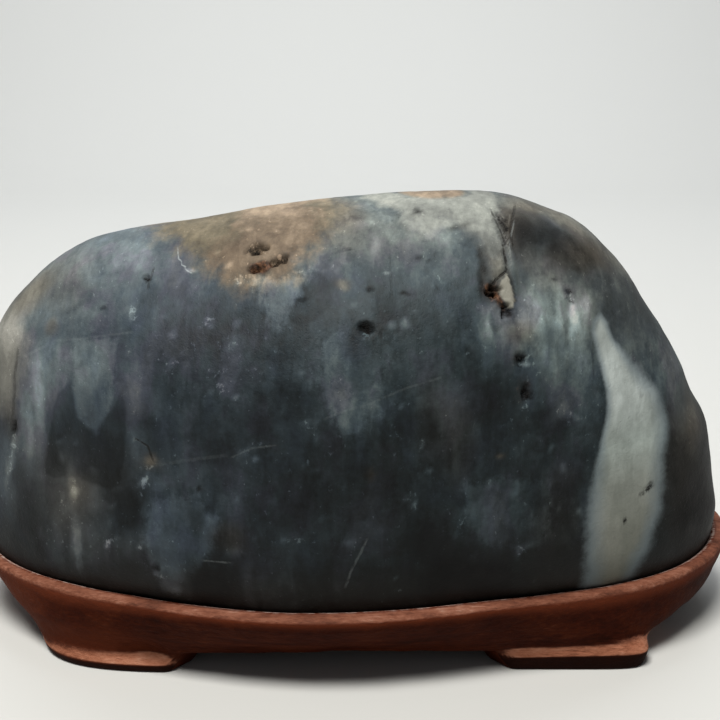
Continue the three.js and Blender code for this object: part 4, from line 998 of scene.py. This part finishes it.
def wood_material():
    """Close-grained hardwood carved by hand, stained red-brown and left without varnish. The
    walls carry the dark dry stain, drawn darker still as painted shade; the rim is drawn
    lighter, partly as scuffed stain and partly as painted light, the ledges of the feet lighter
    as painted light, and the faces under the feet's lips as painted shade. The grain stands open
    as short fibres where the cut runs across it."""
    material, tree = new_material("carved hardwood stained red-brown")
    add = functools.partial(add_node, tree)
    field = {name: add("Attribute", {"attribute_name": name})["Fac"]
             for name in ("rubbed", "bare", "orange", "ledge", "sooty")}
    coords = add("TexCoord")["Object"]
    place = add("VectorMath", SCALE, {0: coords, "Scale": 1 / MM})[0]

    # growth bands 3 mm apart and fibres 0.7 mm thick, drawn out along the plank, which is X;
    # patches of thicker stain; short open pores
    swings = {}
    for name, size, detail, roughness, squeeze in (
            ("bands", 3.0, 3, 0.5, (0.06, 1, 1)), ("fibres", 0.7, 4, 0.7, (0.14, 1, 1)),
            ("patches", 14, 3, 0.55, (0.6, 1, 1)), ("pores", 0.9, 3, 0.7, (0.35, 1, 1)),
            ("chips", 2.2, 3, 0.6, (0.7, 1, 1))):
        squeezed = add("VectorMath", TIMES, {0: place, 1: squeeze})[0]
        noise = add("TexNoise", None, {"Vector": squeezed, "Scale": 1 / size,
                                       "Detail": float(detail), "Roughness": roughness})[0]
        swings[name] = add("Math", ADD, {0: noise, 1: -0.5})[0]
    figure = 0.5
    for name, amount in (("bands", 0.5), ("fibres", 0.45), ("patches", 0.8), ("pores", 0.45),
                         ("chips", 0.3)):
        figure = add("Math", TIMES_ADD, {0: swings[name], 1: amount, 2: figure})[0]
    # the walls: the dark dry stain, drawn darker still as painted shade
    wall = add("ValToRGB", None, {0: figure}, [
        (0.2, "#210a04"), (0.45, "#321107"), (0.6, "#3c1709"), (0.85, "#4c2210")])[0]
    # the lighter wood: scuffed stain, and painted light on wood that faces up
    worn_and_lit = add("ValToRGB", None, {0: figure}, [
        (0.15, "#3d2016"), (0.38, "#683d2d"), (0.5, "#7b4b38"), (0.65, "#8f5f4c"),
        (0.85, "#b08a77")])[0]
    # the ledges of the feet: painted light
    ledge = add("ValToRGB", None, {0: figure}, [
        (0.15, "#67341f"), (0.45, "#9c634a"), (0.6, "#ac755c"), (0.85, "#c6977f")])[0]
    worn_and_lit = add("Mix", COLOURS, {0: field["ledge"], 6: worn_and_lit, 7: ledge})[2]
    # share of the lighter wood: scuffing and painted light
    thin_and_lit = add("Math", TIMES_ADD, {0: swings["fibres"], 1: 0.6, 2: field["rubbed"]})[0]
    thin_and_lit = add("Math", TIMES_ADD, {0: swings["chips"], 1: 0.4, 2: thin_and_lit})[0]
    share = add("MapRange", STEP, {"Value": thin_and_lit, "From Min": 0.05, "From Max": 0.85})[0]
    wood = add("Mix", COLOURS, {0: share, 6: wall, 7: worn_and_lit})[2]
    wood = add("Mix", COLOURS, {0: field["orange"], 6: wood, 7: "#66301c"})[2]
    # painted shade under the feet's lips
    wood = add("Mix", COLOURS, {0: field["sooty"], 6: wood, 7: "#120604"})[2]
    bare = add("Math", TIMES_ADD, {0: swings["pores"], 1: 6.0, 2: 0.55})[0]
    bare = add("Math", TIMES_CLIPPED, {0: bare, 1: field["bare"]})[0]
    wood = add("Mix", COLOURS, {0: bare, 6: wood, 7: "#b7a096"})[2]

    # fibres and open pores stand 0.1 to 0.3 mm deep, deepest where the stain is scuffed and
    # where painted light lies
    open_pores = add("Math", TIMES, {0: swings["pores"], 1: field["rubbed"]})[0]
    relief = 0.0
    for part, amount in ((swings["fibres"], 0.25), (swings["bands"], 0.12), (open_pores, 0.6),
                         (swings["chips"], 0.5)):
        relief = add("Math", TIMES_ADD, {0: part, 1: amount, 2: relief})[0]
    bump = add("Bump", None, {"Strength": 1.0, "Distance": MM, "Height": relief})[0]
    gloss = add("Math", TIMES_ADD, {0: field["rubbed"], 1: 0.12, 2: 0.04})[0]
    shader = add("BsdfPrincipled", None, {
        "Base Color": wood, "Roughness": 0.72, "Normal": bump, "IOR": 1.5,
        "Specular IOR Level": gloss})[0]
    add("OutputMaterial", None, {"Surface": shader})
    return material


def tangent_frame(centre, points, normals):
    """Level axis and rising axis of the skin at the point nearest to a centre."""
    normal = normals[np.argmin(np.sum((points - centre) ** 2, axis=1))]
    level = np.array([1.0, 0, 0]) - normal * normal[0]
    level = level / np.linalg.norm(level)
    rising = np.cross(normal, level)
    return level, rising * np.sign(rising[2] + 1e-9)


def pit_depth(points, normals):
    """Depth in mm of the worn pits: depth * (1 - r^2)^1.2 out to r = 1, where r is the distance
    along the skin in half widths, roughened by noise, less a low worn brow around r = 1.25; and
    how deep in a pit a point is, 0 to 1."""
    widest = 12.0
    brow_height, brow_at, brow_half = 0.22, 1.25, 0.22
    rough = np.clip(1 + waves(points, PIT_EDGE), 0.75, 1.5)
    floor = np.clip(1 + waves(points, PIT_FLOOR), 0.35, 1.7)
    drop = np.zeros(len(points))
    hollow = np.zeros(len(points))
    for x, y, z, half_width, half_height, depth, turn in PITS:
        centre = settle((x, y, z))
        near = np.flatnonzero(np.sum((points - centre) ** 2, axis=1) < widest ** 2)
        level, rising = tangent_frame(centre, points, normals)
        offset = points[near] - centre
        a, b = offset @ level, offset @ rising
        c, s = math.cos(math.radians(turn)), math.sin(math.radians(turn))
        r = np.hypot((a * c + b * s) / half_width, (b * c - a * s) / half_height) * rough[near]
        bowl = np.clip(1 - r * r, 0, 1) ** 1.2
        drop[near] = np.maximum(drop[near], depth * bowl * floor[near])
        drop[near] -= brow_height * np.exp(-((r - brow_at) / brow_half) ** 2)
        hollow[near] = np.maximum(hollow[near], 1 - smooth(r, 0.35, 1.15))
    return drop, hollow


def crack_relief(s, t):
    """Depth in mm and darkness of the cracks: depth * exp(-(distance / half width)^2), the
    deepest one counting, less the ridges; and a shallow facet between the two long cracks."""
    depth = np.zeros(s.shape)
    dark = np.zeros(s.shape)
    for half_width, deep, darkness, path in CRACKS:
        near = functools.reduce(np.minimum, (to_segment(s, t, start, end)
                                             for start, end in itertools.pairwise(path)))
        bell = np.exp(-(near / half_width) ** 2)
        depth = np.where(deep > 0, np.maximum(depth, deep * bell), depth + deep * bell)
        dark = np.where(deep > 0, np.maximum(dark, darkness * bell), dark + darkness * bell)
    return depth + FACET_DEPTH * smooth(inside_mm(FACET, s, t), -0.3, 1.2), dark


def lobe_fields(s, t):
    """For the dark and for the pale lobes: the distance into the lobe that counts most, over
    the softness of its edge, and the lift of that lobe."""
    fields = {}
    for name, sign in (("dark", -1), ("pale", 1)):
        edge, lift = np.full(s.shape, -9.0), np.zeros(s.shape)
        for softness, amount, outline in LOBES:
            if amount * sign > 0:
                inside = inside_mm(outline, s, t) / softness
                lift = np.where(inside > edge, amount, lift)
                edge = np.maximum(edge, inside)
        fields[name + "_lobe"], fields[name + "_lift"] = edge, lift
    return fields


def vein_field(s, t):
    """Distance into the quartz vein over the softness of its edge: the left edge is clear, the
    right edge and the foot run out softly."""
    softness = (1 + 1.6 * smooth(s, 84, 98) + 0.8 * (1 - smooth(t, 12, 34))
                + 1.6 * (1 - smooth(t, 38, 62)) * (1 - smooth(s, 82, 90)))
    return (inside_mm(VEIN, s, t) + 0.9 * smooth(t, 74, 88)) / softness


def cap_fields(points, s, t, warped_s, warped_t):
    """Distances into the stained and bleached areas: the nearest edge of each outline. The stain
    on the crest lies over the bleached cap and has three times as clear an edge. The cream stays
    on the show side and around the tip, and above the stand."""
    crest_stain = 3 * inside_mm(CREST_STAIN, s, t)
    pale_top = inside_mm(PALE_TOP, warped_s, warped_t)
    clearness = 1 + 2.5 * smooth(s, 40, 45) + 1.2 * (1 - smooth(s, 12, 24))
    cream = inside_mm(LEFT_CREAM, warped_s, warped_t)
    cream_back, cream_foot, slope = 16, 52, 0.6
    cream = np.minimum(cream, slope * (cream_back - points[:, 1] + waves(points, CREAM_DEPTH)))
    cream = np.minimum(cream, slope * (points[:, 2] - cream_foot + waves(points, CREAM_HEIGHT)))
    lift = 0.06 * smooth(pale_top, -4, 6) + 0.12 * smooth(cream, -5, 5)
    return lift, {"ochre": np.maximum(inside_mm(OCHRE, s, t), crest_stain),
                  "ochre_pink": np.maximum(inside_mm(OCHRE_PINK, s, t), crest_stain),
                  "pale_top": np.minimum(pale_top * clearness, -crest_stain),
                  "cream": cream}


def make_stone():
    """The outline surface, lowered along its normals by pits and fissure and moved in and out by
    noise of 26 down to 2.4 mm. The relief fades out in the seat, where the stone has to fit. The
    chart is warped a little, more across than along, so that no edge is drawn clean."""
    points, quads = stone_grid()
    normals = vertex_normals(points, quads)
    s, t = face_chart(points, normals)
    drop, hollow = pit_depth(points, normals)
    fine_s = s + waves(points, FINE_WARP_S)
    fine_t = t + waves(points, FINE_WARP_T)
    crack_drop, crack = crack_relief(fine_s, fine_t)
    seat_top, relief_from, sink = 29.5, 33, 0.02
    relief = waves(points, STONE_RELIEF) - drop - crack_drop
    relief = relief * smooth(points[:, 2], seat_top, relief_from) - sink
    points = points + normals * relief[:, None]
    warped_s = s + waves(points, WARP_S)
    warped_t = t + waves(points, WARP_T)
    cap_lift, caps = cap_fields(points, s, t, warped_s, warped_t)
    # the rock's grey by height, with painted shade towards the base
    tone = np.interp(t, ROCK_TONE_HEIGHTS, ROCK_AND_SHADE_TONES)
    tone = tone + strokes(TONE_STROKES, warped_s, warped_t)
    dark_side, dark_near = lines_field(DARK_LINES, s, t)
    pale_side, pale_near = lines_field(PALE_LINES, s, t)
    attributes = {
        "tone": tone + cap_lift,
        "warm": strokes(WARM_STROKES, warped_s, warped_t),
        "rust": strokes(RUST_STROKES, warped_s, warped_t),
        "flakes": strokes(FLAKES, s, t),
        "vein": vein_field(s, t),
        "plug": inside_mm(PLUG, fine_s, fine_t),
        "hollow": np.clip(hollow + strokes(DARK_SPOTS, fine_s, fine_t), 0, 1),
        "crack": crack,
        "dark_side": dark_side, "dark_near": dark_near,
        "pale_side": pale_side, "pale_near": pale_near,
        **caps, **lobe_fields(fine_s, fine_t),
    }
    return make_piece("stone_skin", points, quads.tolist(), stone_material(), attributes)


def base_radius(angle):
    """Rounded rectangle: |x / length|^n + |y / depth|^n = 1, squarer at the right end."""
    to_right = np.cos(angle) > 0
    n = np.where(to_right, RIGHT_CORNER_SQUARENESS, LEFT_CORNER_SQUARENESS)
    length = np.where(to_right, BASE_RIGHT_LENGTH, BASE_LEFT_LENGTH)
    depth = BASE_HALF_DEPTH * (1 - BASE_DEPTH_TAPER * np.cos(angle))
    return (np.abs(np.cos(angle) / length) ** n + np.abs(np.sin(angle) / depth) ** n) ** (-1 / n)


def from_middle(angle, start, end):
    """Degrees between each direction and the middle of a foot, and half of that foot's width."""
    middle, half = (start + end) / 2, (end - start) / 2
    return np.abs((np.degrees(angle) % 360 - middle + 540) % 360 - 180), half


def foot_share(angle):
    """1 on a foot, 0 on an arch, with a short blend between the two."""
    share = np.zeros(angle.shape)
    for start, end in FEET:
        away, half = from_middle(angle, start, end)
        share = np.maximum(share, 1 - smooth(away, half - FOOT_END_BLEND, half))
    return share


def lip_height(angle):
    """Height of the top edge of the feet's lip in mm: low at the left, rising to the right, by
    straight lines over the cosine of the direction."""
    return np.interp(np.cos(angle), *LIP_HEIGHTS)


def foot_run(angle):
    """Straight distance in mm on the base outline between a direction on a foot and the end of
    that foot that faces the front or back arch; 0 between the feet."""
    here = base_radius(angle) * np.array([np.cos(angle), np.sin(angle)])
    run = np.zeros(angle.shape)
    for start, end in FEET:
        away, half = from_middle(angle, start, end)
        ends = np.radians([start, end])
        arch_end = ends[np.argmax(np.abs(np.sin(ends)))]
        corner = base_radius(np.array([arch_end])) * [[np.cos(arch_end)], [np.sin(arch_end)]]
        run = np.where(away < half, np.linalg.norm(here - corner, axis=0), run)
    return run


def stand_angles():
    """Directions from the stand's centre to points evenly spaced around its base rectangle."""
    corners = np.array([(1, -1), (1, 1), (-1, 1), (-1, -1), (1, -1)], float)
    corners = corners * (BASE_LEFT_LENGTH, BASE_HALF_DEPTH)
    lengths = np.linalg.norm(np.diff(corners, axis=0), axis=1)
    travelled = np.concatenate([[0], np.cumsum(lengths)])
    at = np.linspace(0, travelled[-1], STAND_COLUMNS, endpoint=False)
    x = np.interp(at, travelled, corners[:, 0])
    y = np.interp(at, travelled, corners[:, 1])
    return np.sort(np.arctan2(y, x) % (2 * math.pi))


def skin_distance(origin, direction):
    """Distance from an inner point to the stone's skin along unit directions, by halving."""
    low = np.zeros(direction.shape[:-1])
    high = np.full(direction.shape[:-1], 220.0)
    for _ in range(26):
        middle = (low + high) / 2
        is_in = inside_gauge(origin + middle[..., None] * direction) < 1
        low = np.where(is_in, middle, low)
        high = np.where(is_in, high, middle)
    return low


def section_points(angle, rim_radius):
    """The section's corners, one row per line of SECTION and one column per direction:
    radius = base outline + reach * (rim outline - base outline) - inset. The scoop above the lip
    and the lip itself run out towards the arch; the lip's height changes from foot to foot."""
    front, left, right, foot_in, foot_z, arch_in, arch_z = (
        SECTION[:, k, None] for k in range(7))
    cosine = np.cos(angle)[None, :]
    on_foot = foot_share(angle)[None, :]
    on_end = smooth(np.abs(cosine), END_STARTS, END_IS_FULL)
    reach = lerp(front, np.where(cosine < 0, left, right), on_end)
    is_wall = (foot_z > LIP_Z) & (foot_z < SCOOP_TOP_Z)
    run = foot_run(angle)[None, :]
    least_scoop = 0.12
    scoop = np.where(cosine < 0, LEFT_FOOT_SCOOP, RIGHT_FOOT_SCOOP)
    scoop = scoop * lerp(1, END_INSET_SHARE, on_end)
    scoop = scoop * np.clip(run / np.where(cosine < 0, LEFT_RUN_OUT, RIGHT_RUN_OUT),
                            least_scoop, 1)
    inset = lerp(arch_in, foot_in * np.where(is_wall, scoop, 1), on_foot)
    rounding = 1 - np.sqrt(1 - np.clip(1 - run / LIP_CORNER_WIDTH, 0, 1) ** 2)
    inset = inset + LIP_CORNER_DEPTH * rounding * (foot_z <= LIP_CORNER_TOP_Z) * on_foot
    lip = lip_height(angle)[None, :]
    above = foot_z + (lip - LIP_Z) * np.clip((SCOOP_FROM_Z - foot_z) / (SCOOP_FROM_Z - LIP_Z),
                                             0, 1)
    foot_z = np.where(foot_z < LIP_Z, foot_z * lip / LIP_Z, above)
    radius = lerp(base_radius(angle)[None, :], rim_radius[None, :], reach) - inset
    return radius, lerp(arch_z, foot_z, on_foot)


def resample(rows, steps):
    """Puts steps[k] rows between rows k and k + 1, evenly along straight lines."""
    places = np.concatenate([k + np.arange(n) / n for k, n in enumerate(steps)]
                            + [[len(steps)]])
    low = np.minimum(places.astype(int), len(rows) - 2)
    share = (places - low)[:, None]
    return rows[low] * (1 - share) + rows[low + 1] * share


def stand_rings(angle, flat):
    """Radii and heights of the rings of points, and the brim's radius: the seat is the stone's
    skin moved out by the gap, found along rays that dip from the rim's level; brow, rim, wall
    and foot are the section's rows, each averaged with its neighbours, (a + 2b + c) / 4; the
    underside is the last ring drawn in."""
    level = STAND_MIDDLE + RIM_Z * UP
    edge = skin_distance(level, flat)
    dips = np.radians(SEAT_DIPS)[:, None]
    down = np.cos(dips)[..., None] * flat - np.sin(dips)[..., None] * UP
    reach = skin_distance(level, down) + SEAT_GAP
    brim = edge + BRIM_GAP
    wall_radius, wall_height = section_points(angle, edge + SEAT_GAP + RIM_WIDTH)
    rows_r = np.concatenate([[brim + out for out, _ in BROW], wall_radius])
    rows_z = np.concatenate([[np.full(len(angle), RIM_Z - drop) for _, drop in BROW],
                             wall_height])
    rows_r, rows_z = resample(rows_r, ROW_STEPS), resample(rows_z, ROW_STEPS)
    for _ in range(ROUNDING_PASSES):
        for rows in (rows_r, rows_z):
            rows[1:-1] = (rows[:-2] + 2 * rows[1:-1] + rows[2:]) / 4
    under_r = rows_r[-1] * CLOSING_SHARES[:, None]
    radius = np.concatenate([reach * np.cos(dips), rows_r, under_r])
    height = np.concatenate([RIM_Z - reach * np.sin(dips), rows_z,
                             np.full_like(under_r, UNDERSIDE_Z)])
    return radius, height, brim


def stand_mesh(radius, height, flat):
    """Points, quads between neighbouring rings, and fans of triangles around a middle point in
    the seat and one under the stand: the skin's depth plus the gap below the rim, and the
    underside's height."""
    rings, n = radius.shape
    points = (STAND_MIDDLE + radius[..., None] * flat + height[..., None] * UP).reshape(-1, 3)
    i, j = np.meshgrid(np.arange(rings - 1), np.arange(n), indexing="ij")
    after = (j + 1) % n
    quads = np.stack([i * n + j, (i + 1) * n + j, (i + 1) * n + after, i * n + after],
                     -1).reshape(-1, 4)
    depth = skin_distance(STAND_MIDDLE + RIM_Z * UP, -UP[None])[0]
    points = np.concatenate([points, [STAND_MIDDLE + (RIM_Z - depth - SEAT_GAP) * UP,
                                      STAND_MIDDLE + UNDERSIDE_Z * UP]])
    around = np.arange(n)
    after = (around + 1) % n
    last = (rings - 1) * n
    seat_fan = np.stack([np.full(n, len(points) - 2), around, after], 1)
    under_fan = np.stack([np.full(n, len(points) - 1), last + after, last + around], 1)
    return points, quads, seat_fan.tolist() + under_fan.tolist()


def stand_wear_light_and_shade(x, z, normals, from_brim, lip, on_foot, is_outer, outside):
    """Masks of the stand's colours, each as products of smooth steps of height, slope and place:
    scuffed stain and painted light where the wood faces up, scuffing and a painted highlight on
    the rim's brow, painted light on the ledges of the feet; bare on the inner edge of the rim;
    orange under the rim and at the left end; painted shade under the lips."""
    # painted light: wood that faces up takes the lighter colour, over real scuffing on the rim's
    # top
    facing_up = smooth(normals[:, 2], 0.05, 0.7) * outside
    bare = (1 - smooth(np.abs(from_brim - 0.35), 0.5, 1.5)) * (z > RIM_Z - 2)
    mid_front = 1 - smooth(np.abs(x + 5), 45, 90)
    to_right = smooth(x, -20, 20)
    # the rim's outer brow: scuffing and a painted highlight
    brow = (z - RIM_Z + 1.3 - 0.6 * mid_front) / (1.2 - 0.4 * mid_front)
    rubbed = np.clip(facing_up + (0.5 - 0.15 * mid_front) * np.exp(-brow ** 2) * outside, 0, 1)
    # painted light on the ledges of the feet and on the band along the lips' top edge
    ledge_top = lerp(10.5, lip + 2.4, to_right)
    low = 1 - smooth(z, ledge_top, ledge_top + lerp(3, 1.6, to_right))
    low = low * smooth(z, lip - 0.6, lip + 0.1) * is_outer
    lit_lip_band = lerp(0.8 * np.exp(-((z - lip - 0.5) / 0.9) ** 2), 0.9, to_right) * on_foot
    ledge = low * np.maximum(smooth(normals[:, 2], -0.05, 0.5), lit_lip_band)
    rubbed = np.maximum(rubbed, ledge)
    left_end = 0.6 * (1 - smooth(x, -118, -92))
    over_left_foot = 0.4 * (1 - smooth(x, -88, -52)) * (1 - smooth(z, 11, 20)) * is_outer
    under_rim = smooth(z, RIM_Z - 7.5 + 2.5 * mid_front, RIM_Z - 2 + 0.6 * mid_front)
    orange = functools.reduce(np.maximum, (left_end, over_left_foot,
                                           (0.8 - 0.15 * mid_front) * under_rim))
    # the last mask is painted shade on the faces below the feet's lips
    return {"rubbed": rubbed, "bare": bare, "orange": orange * (1 - rubbed), "ledge": ledge,
            "sooty": 0.85 * (1 - smooth(z, lip - 1.0, lip - 0.1)) * is_outer}


def make_stand():
    """Rings of points around the stand's middle, from the seat over the rim and down the wall to
    the underside. The knife left the outside a little wavy: it is moved along its normals by
    noise of 16 down to 2.2 mm, which fades out near the soles, and sunk by 0.12 mm."""
    angle = stand_angles()
    flat = np.stack([np.cos(angle), np.sin(angle), np.zeros(len(angle))], 1)
    radius, height, brim = stand_rings(angle, flat)
    points, quads, fans = stand_mesh(radius, height, flat)
    # Known fault: the two middle points lie on no quad and so have no normal, and the move along
    # the normals below leaves them without a place.
    normals = vertex_normals(points, quads)
    z = points[:, 2]
    rings, n = radius.shape
    ring = np.append(np.repeat(np.arange(rings), n), [0, 0])
    first = len(SEAT_DIPS) + len(BROW)
    is_outer = (ring > first) & (ring <= len(SEAT_DIPS) + sum(ROW_STEPS[:STEPS_TO_SOLE]))
    outside = is_outer * smooth(z, 0.5, 3)
    from_brim, lip, on_foot = (np.append(columns, [0, 0]) for columns in (
        radius - brim, np.tile(lip_height(angle), rings), np.tile(foot_share(angle), rings)))
    soles_end, waves_full, sink = 3.5, 8, 0.12
    knife = waves(points, KNIFE_WAVES) * outside * smooth(z, soles_end, waves_full)
    points = points + normals * (knife - sink * outside)[:, None]
    wear_light_and_shade = stand_wear_light_and_shade(points[:, 0], z, normals, from_brim, lip, on_foot, is_outer, outside)
    return make_piece("carved_stand", points, quads.tolist() + fans, wood_material(), wear_light_and_shade)


def make_floor():
    """A sheet that lies flat and sweeps up behind: straight, a quarter circle, straight."""
    front, back, top, half_width, swept = -2.5, 1.2, 3.0, 3.0, 0.4
    angles = np.linspace(0, math.pi / 2, 25)
    profile = np.concatenate([
        [(front, 0.0)],
        np.stack([back - swept + swept * np.sin(angles), swept - swept * np.cos(angles)], 1),
        [(back, top)],
    ])
    points = [(x, y, z) for y, z in profile.tolist() for x in (-half_width, half_width)]
    faces = [(2 * k, 2 * k + 1, 2 * k + 3, 2 * k + 2) for k in range(len(profile) - 1)]
    mesh = bpy.data.meshes.new("floor")
    mesh.from_pydata(points, [], faces)
    mesh.shade_smooth()
    material, tree = new_material("pale painted board")
    paint = {"Base Color": "#cbcbc8", "Roughness": 0.9}
    shader = add_node(tree, "BsdfPrincipled", None, paint)[0]
    add_node(tree, "OutputMaterial", None, {"Surface": shader})
    mesh.materials.append(material)
    floor = bpy.data.objects.new("floor", mesh)
    bpy.context.scene.collection.objects.link(floor)


def aim(thing, place, target):
    """Puts a light or camera at a place, with its -Z axis towards a target."""
    thing.location = place
    thing.rotation_euler = (Vector(target) - Vector(place)).to_track_quat("-Z", "Y").to_euler()


def make_light(name, place, size, target, power, colour):
    """A rectangular softbox in metres and watts, aimed at a target."""
    data = bpy.data.lights.new(name, "AREA")
    data.shape = "RECTANGLE"
    data.size, data.size_y = size
    data.energy = power
    data.color = to_linear(colour)[:3]
    light = bpy.data.objects.new(name, data)
    bpy.context.scene.collection.objects.link(light)
    aim(light, place, target)


def make_world():
    """Weak even light from all round, a little cool."""
    world = bpy.data.worlds.new("soft room light")
    world.use_nodes = True
    background = world.node_tree.nodes["Background"].inputs
    background["Color"].default_value = to_linear("#e8ecf0")
    background["Strength"].default_value = 0.12
    bpy.context.scene.world = world


def make_camera():
    """The photo's view: 0.38 m in front of the stone, looking down by about 19 degrees."""
    data = bpy.data.cameras.new("photo view")
    data.lens = 57.2
    data.sensor_width = 36
    camera = bpy.data.objects.new("photo view", data)
    camera.location = (0.003833, -0.38173, 0.2186)
    camera.rotation_euler = (math.radians(71.4), 0, 0)
    bpy.context.scene.collection.objects.link(camera)
    bpy.context.scene.camera = camera


make_camera()
stone = make_stone()
stand = make_stand()
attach(stone, "root")
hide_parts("stone")
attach(stand, "root")
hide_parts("stand")
make_floor()
make_light("key softbox", (-0.16, -0.38, 1.08), (0.42, 0.3), (0, 0, 0.07), 15.5, "#fffdf8")
make_light("backdrop light", (0.0, 0.55, 1.3), (1.2, 0.4), (0, 1.3, 0.25), 14, "#f6faff")
make_world()
bpy.context.scene.view_settings.view_transform = "Standard"
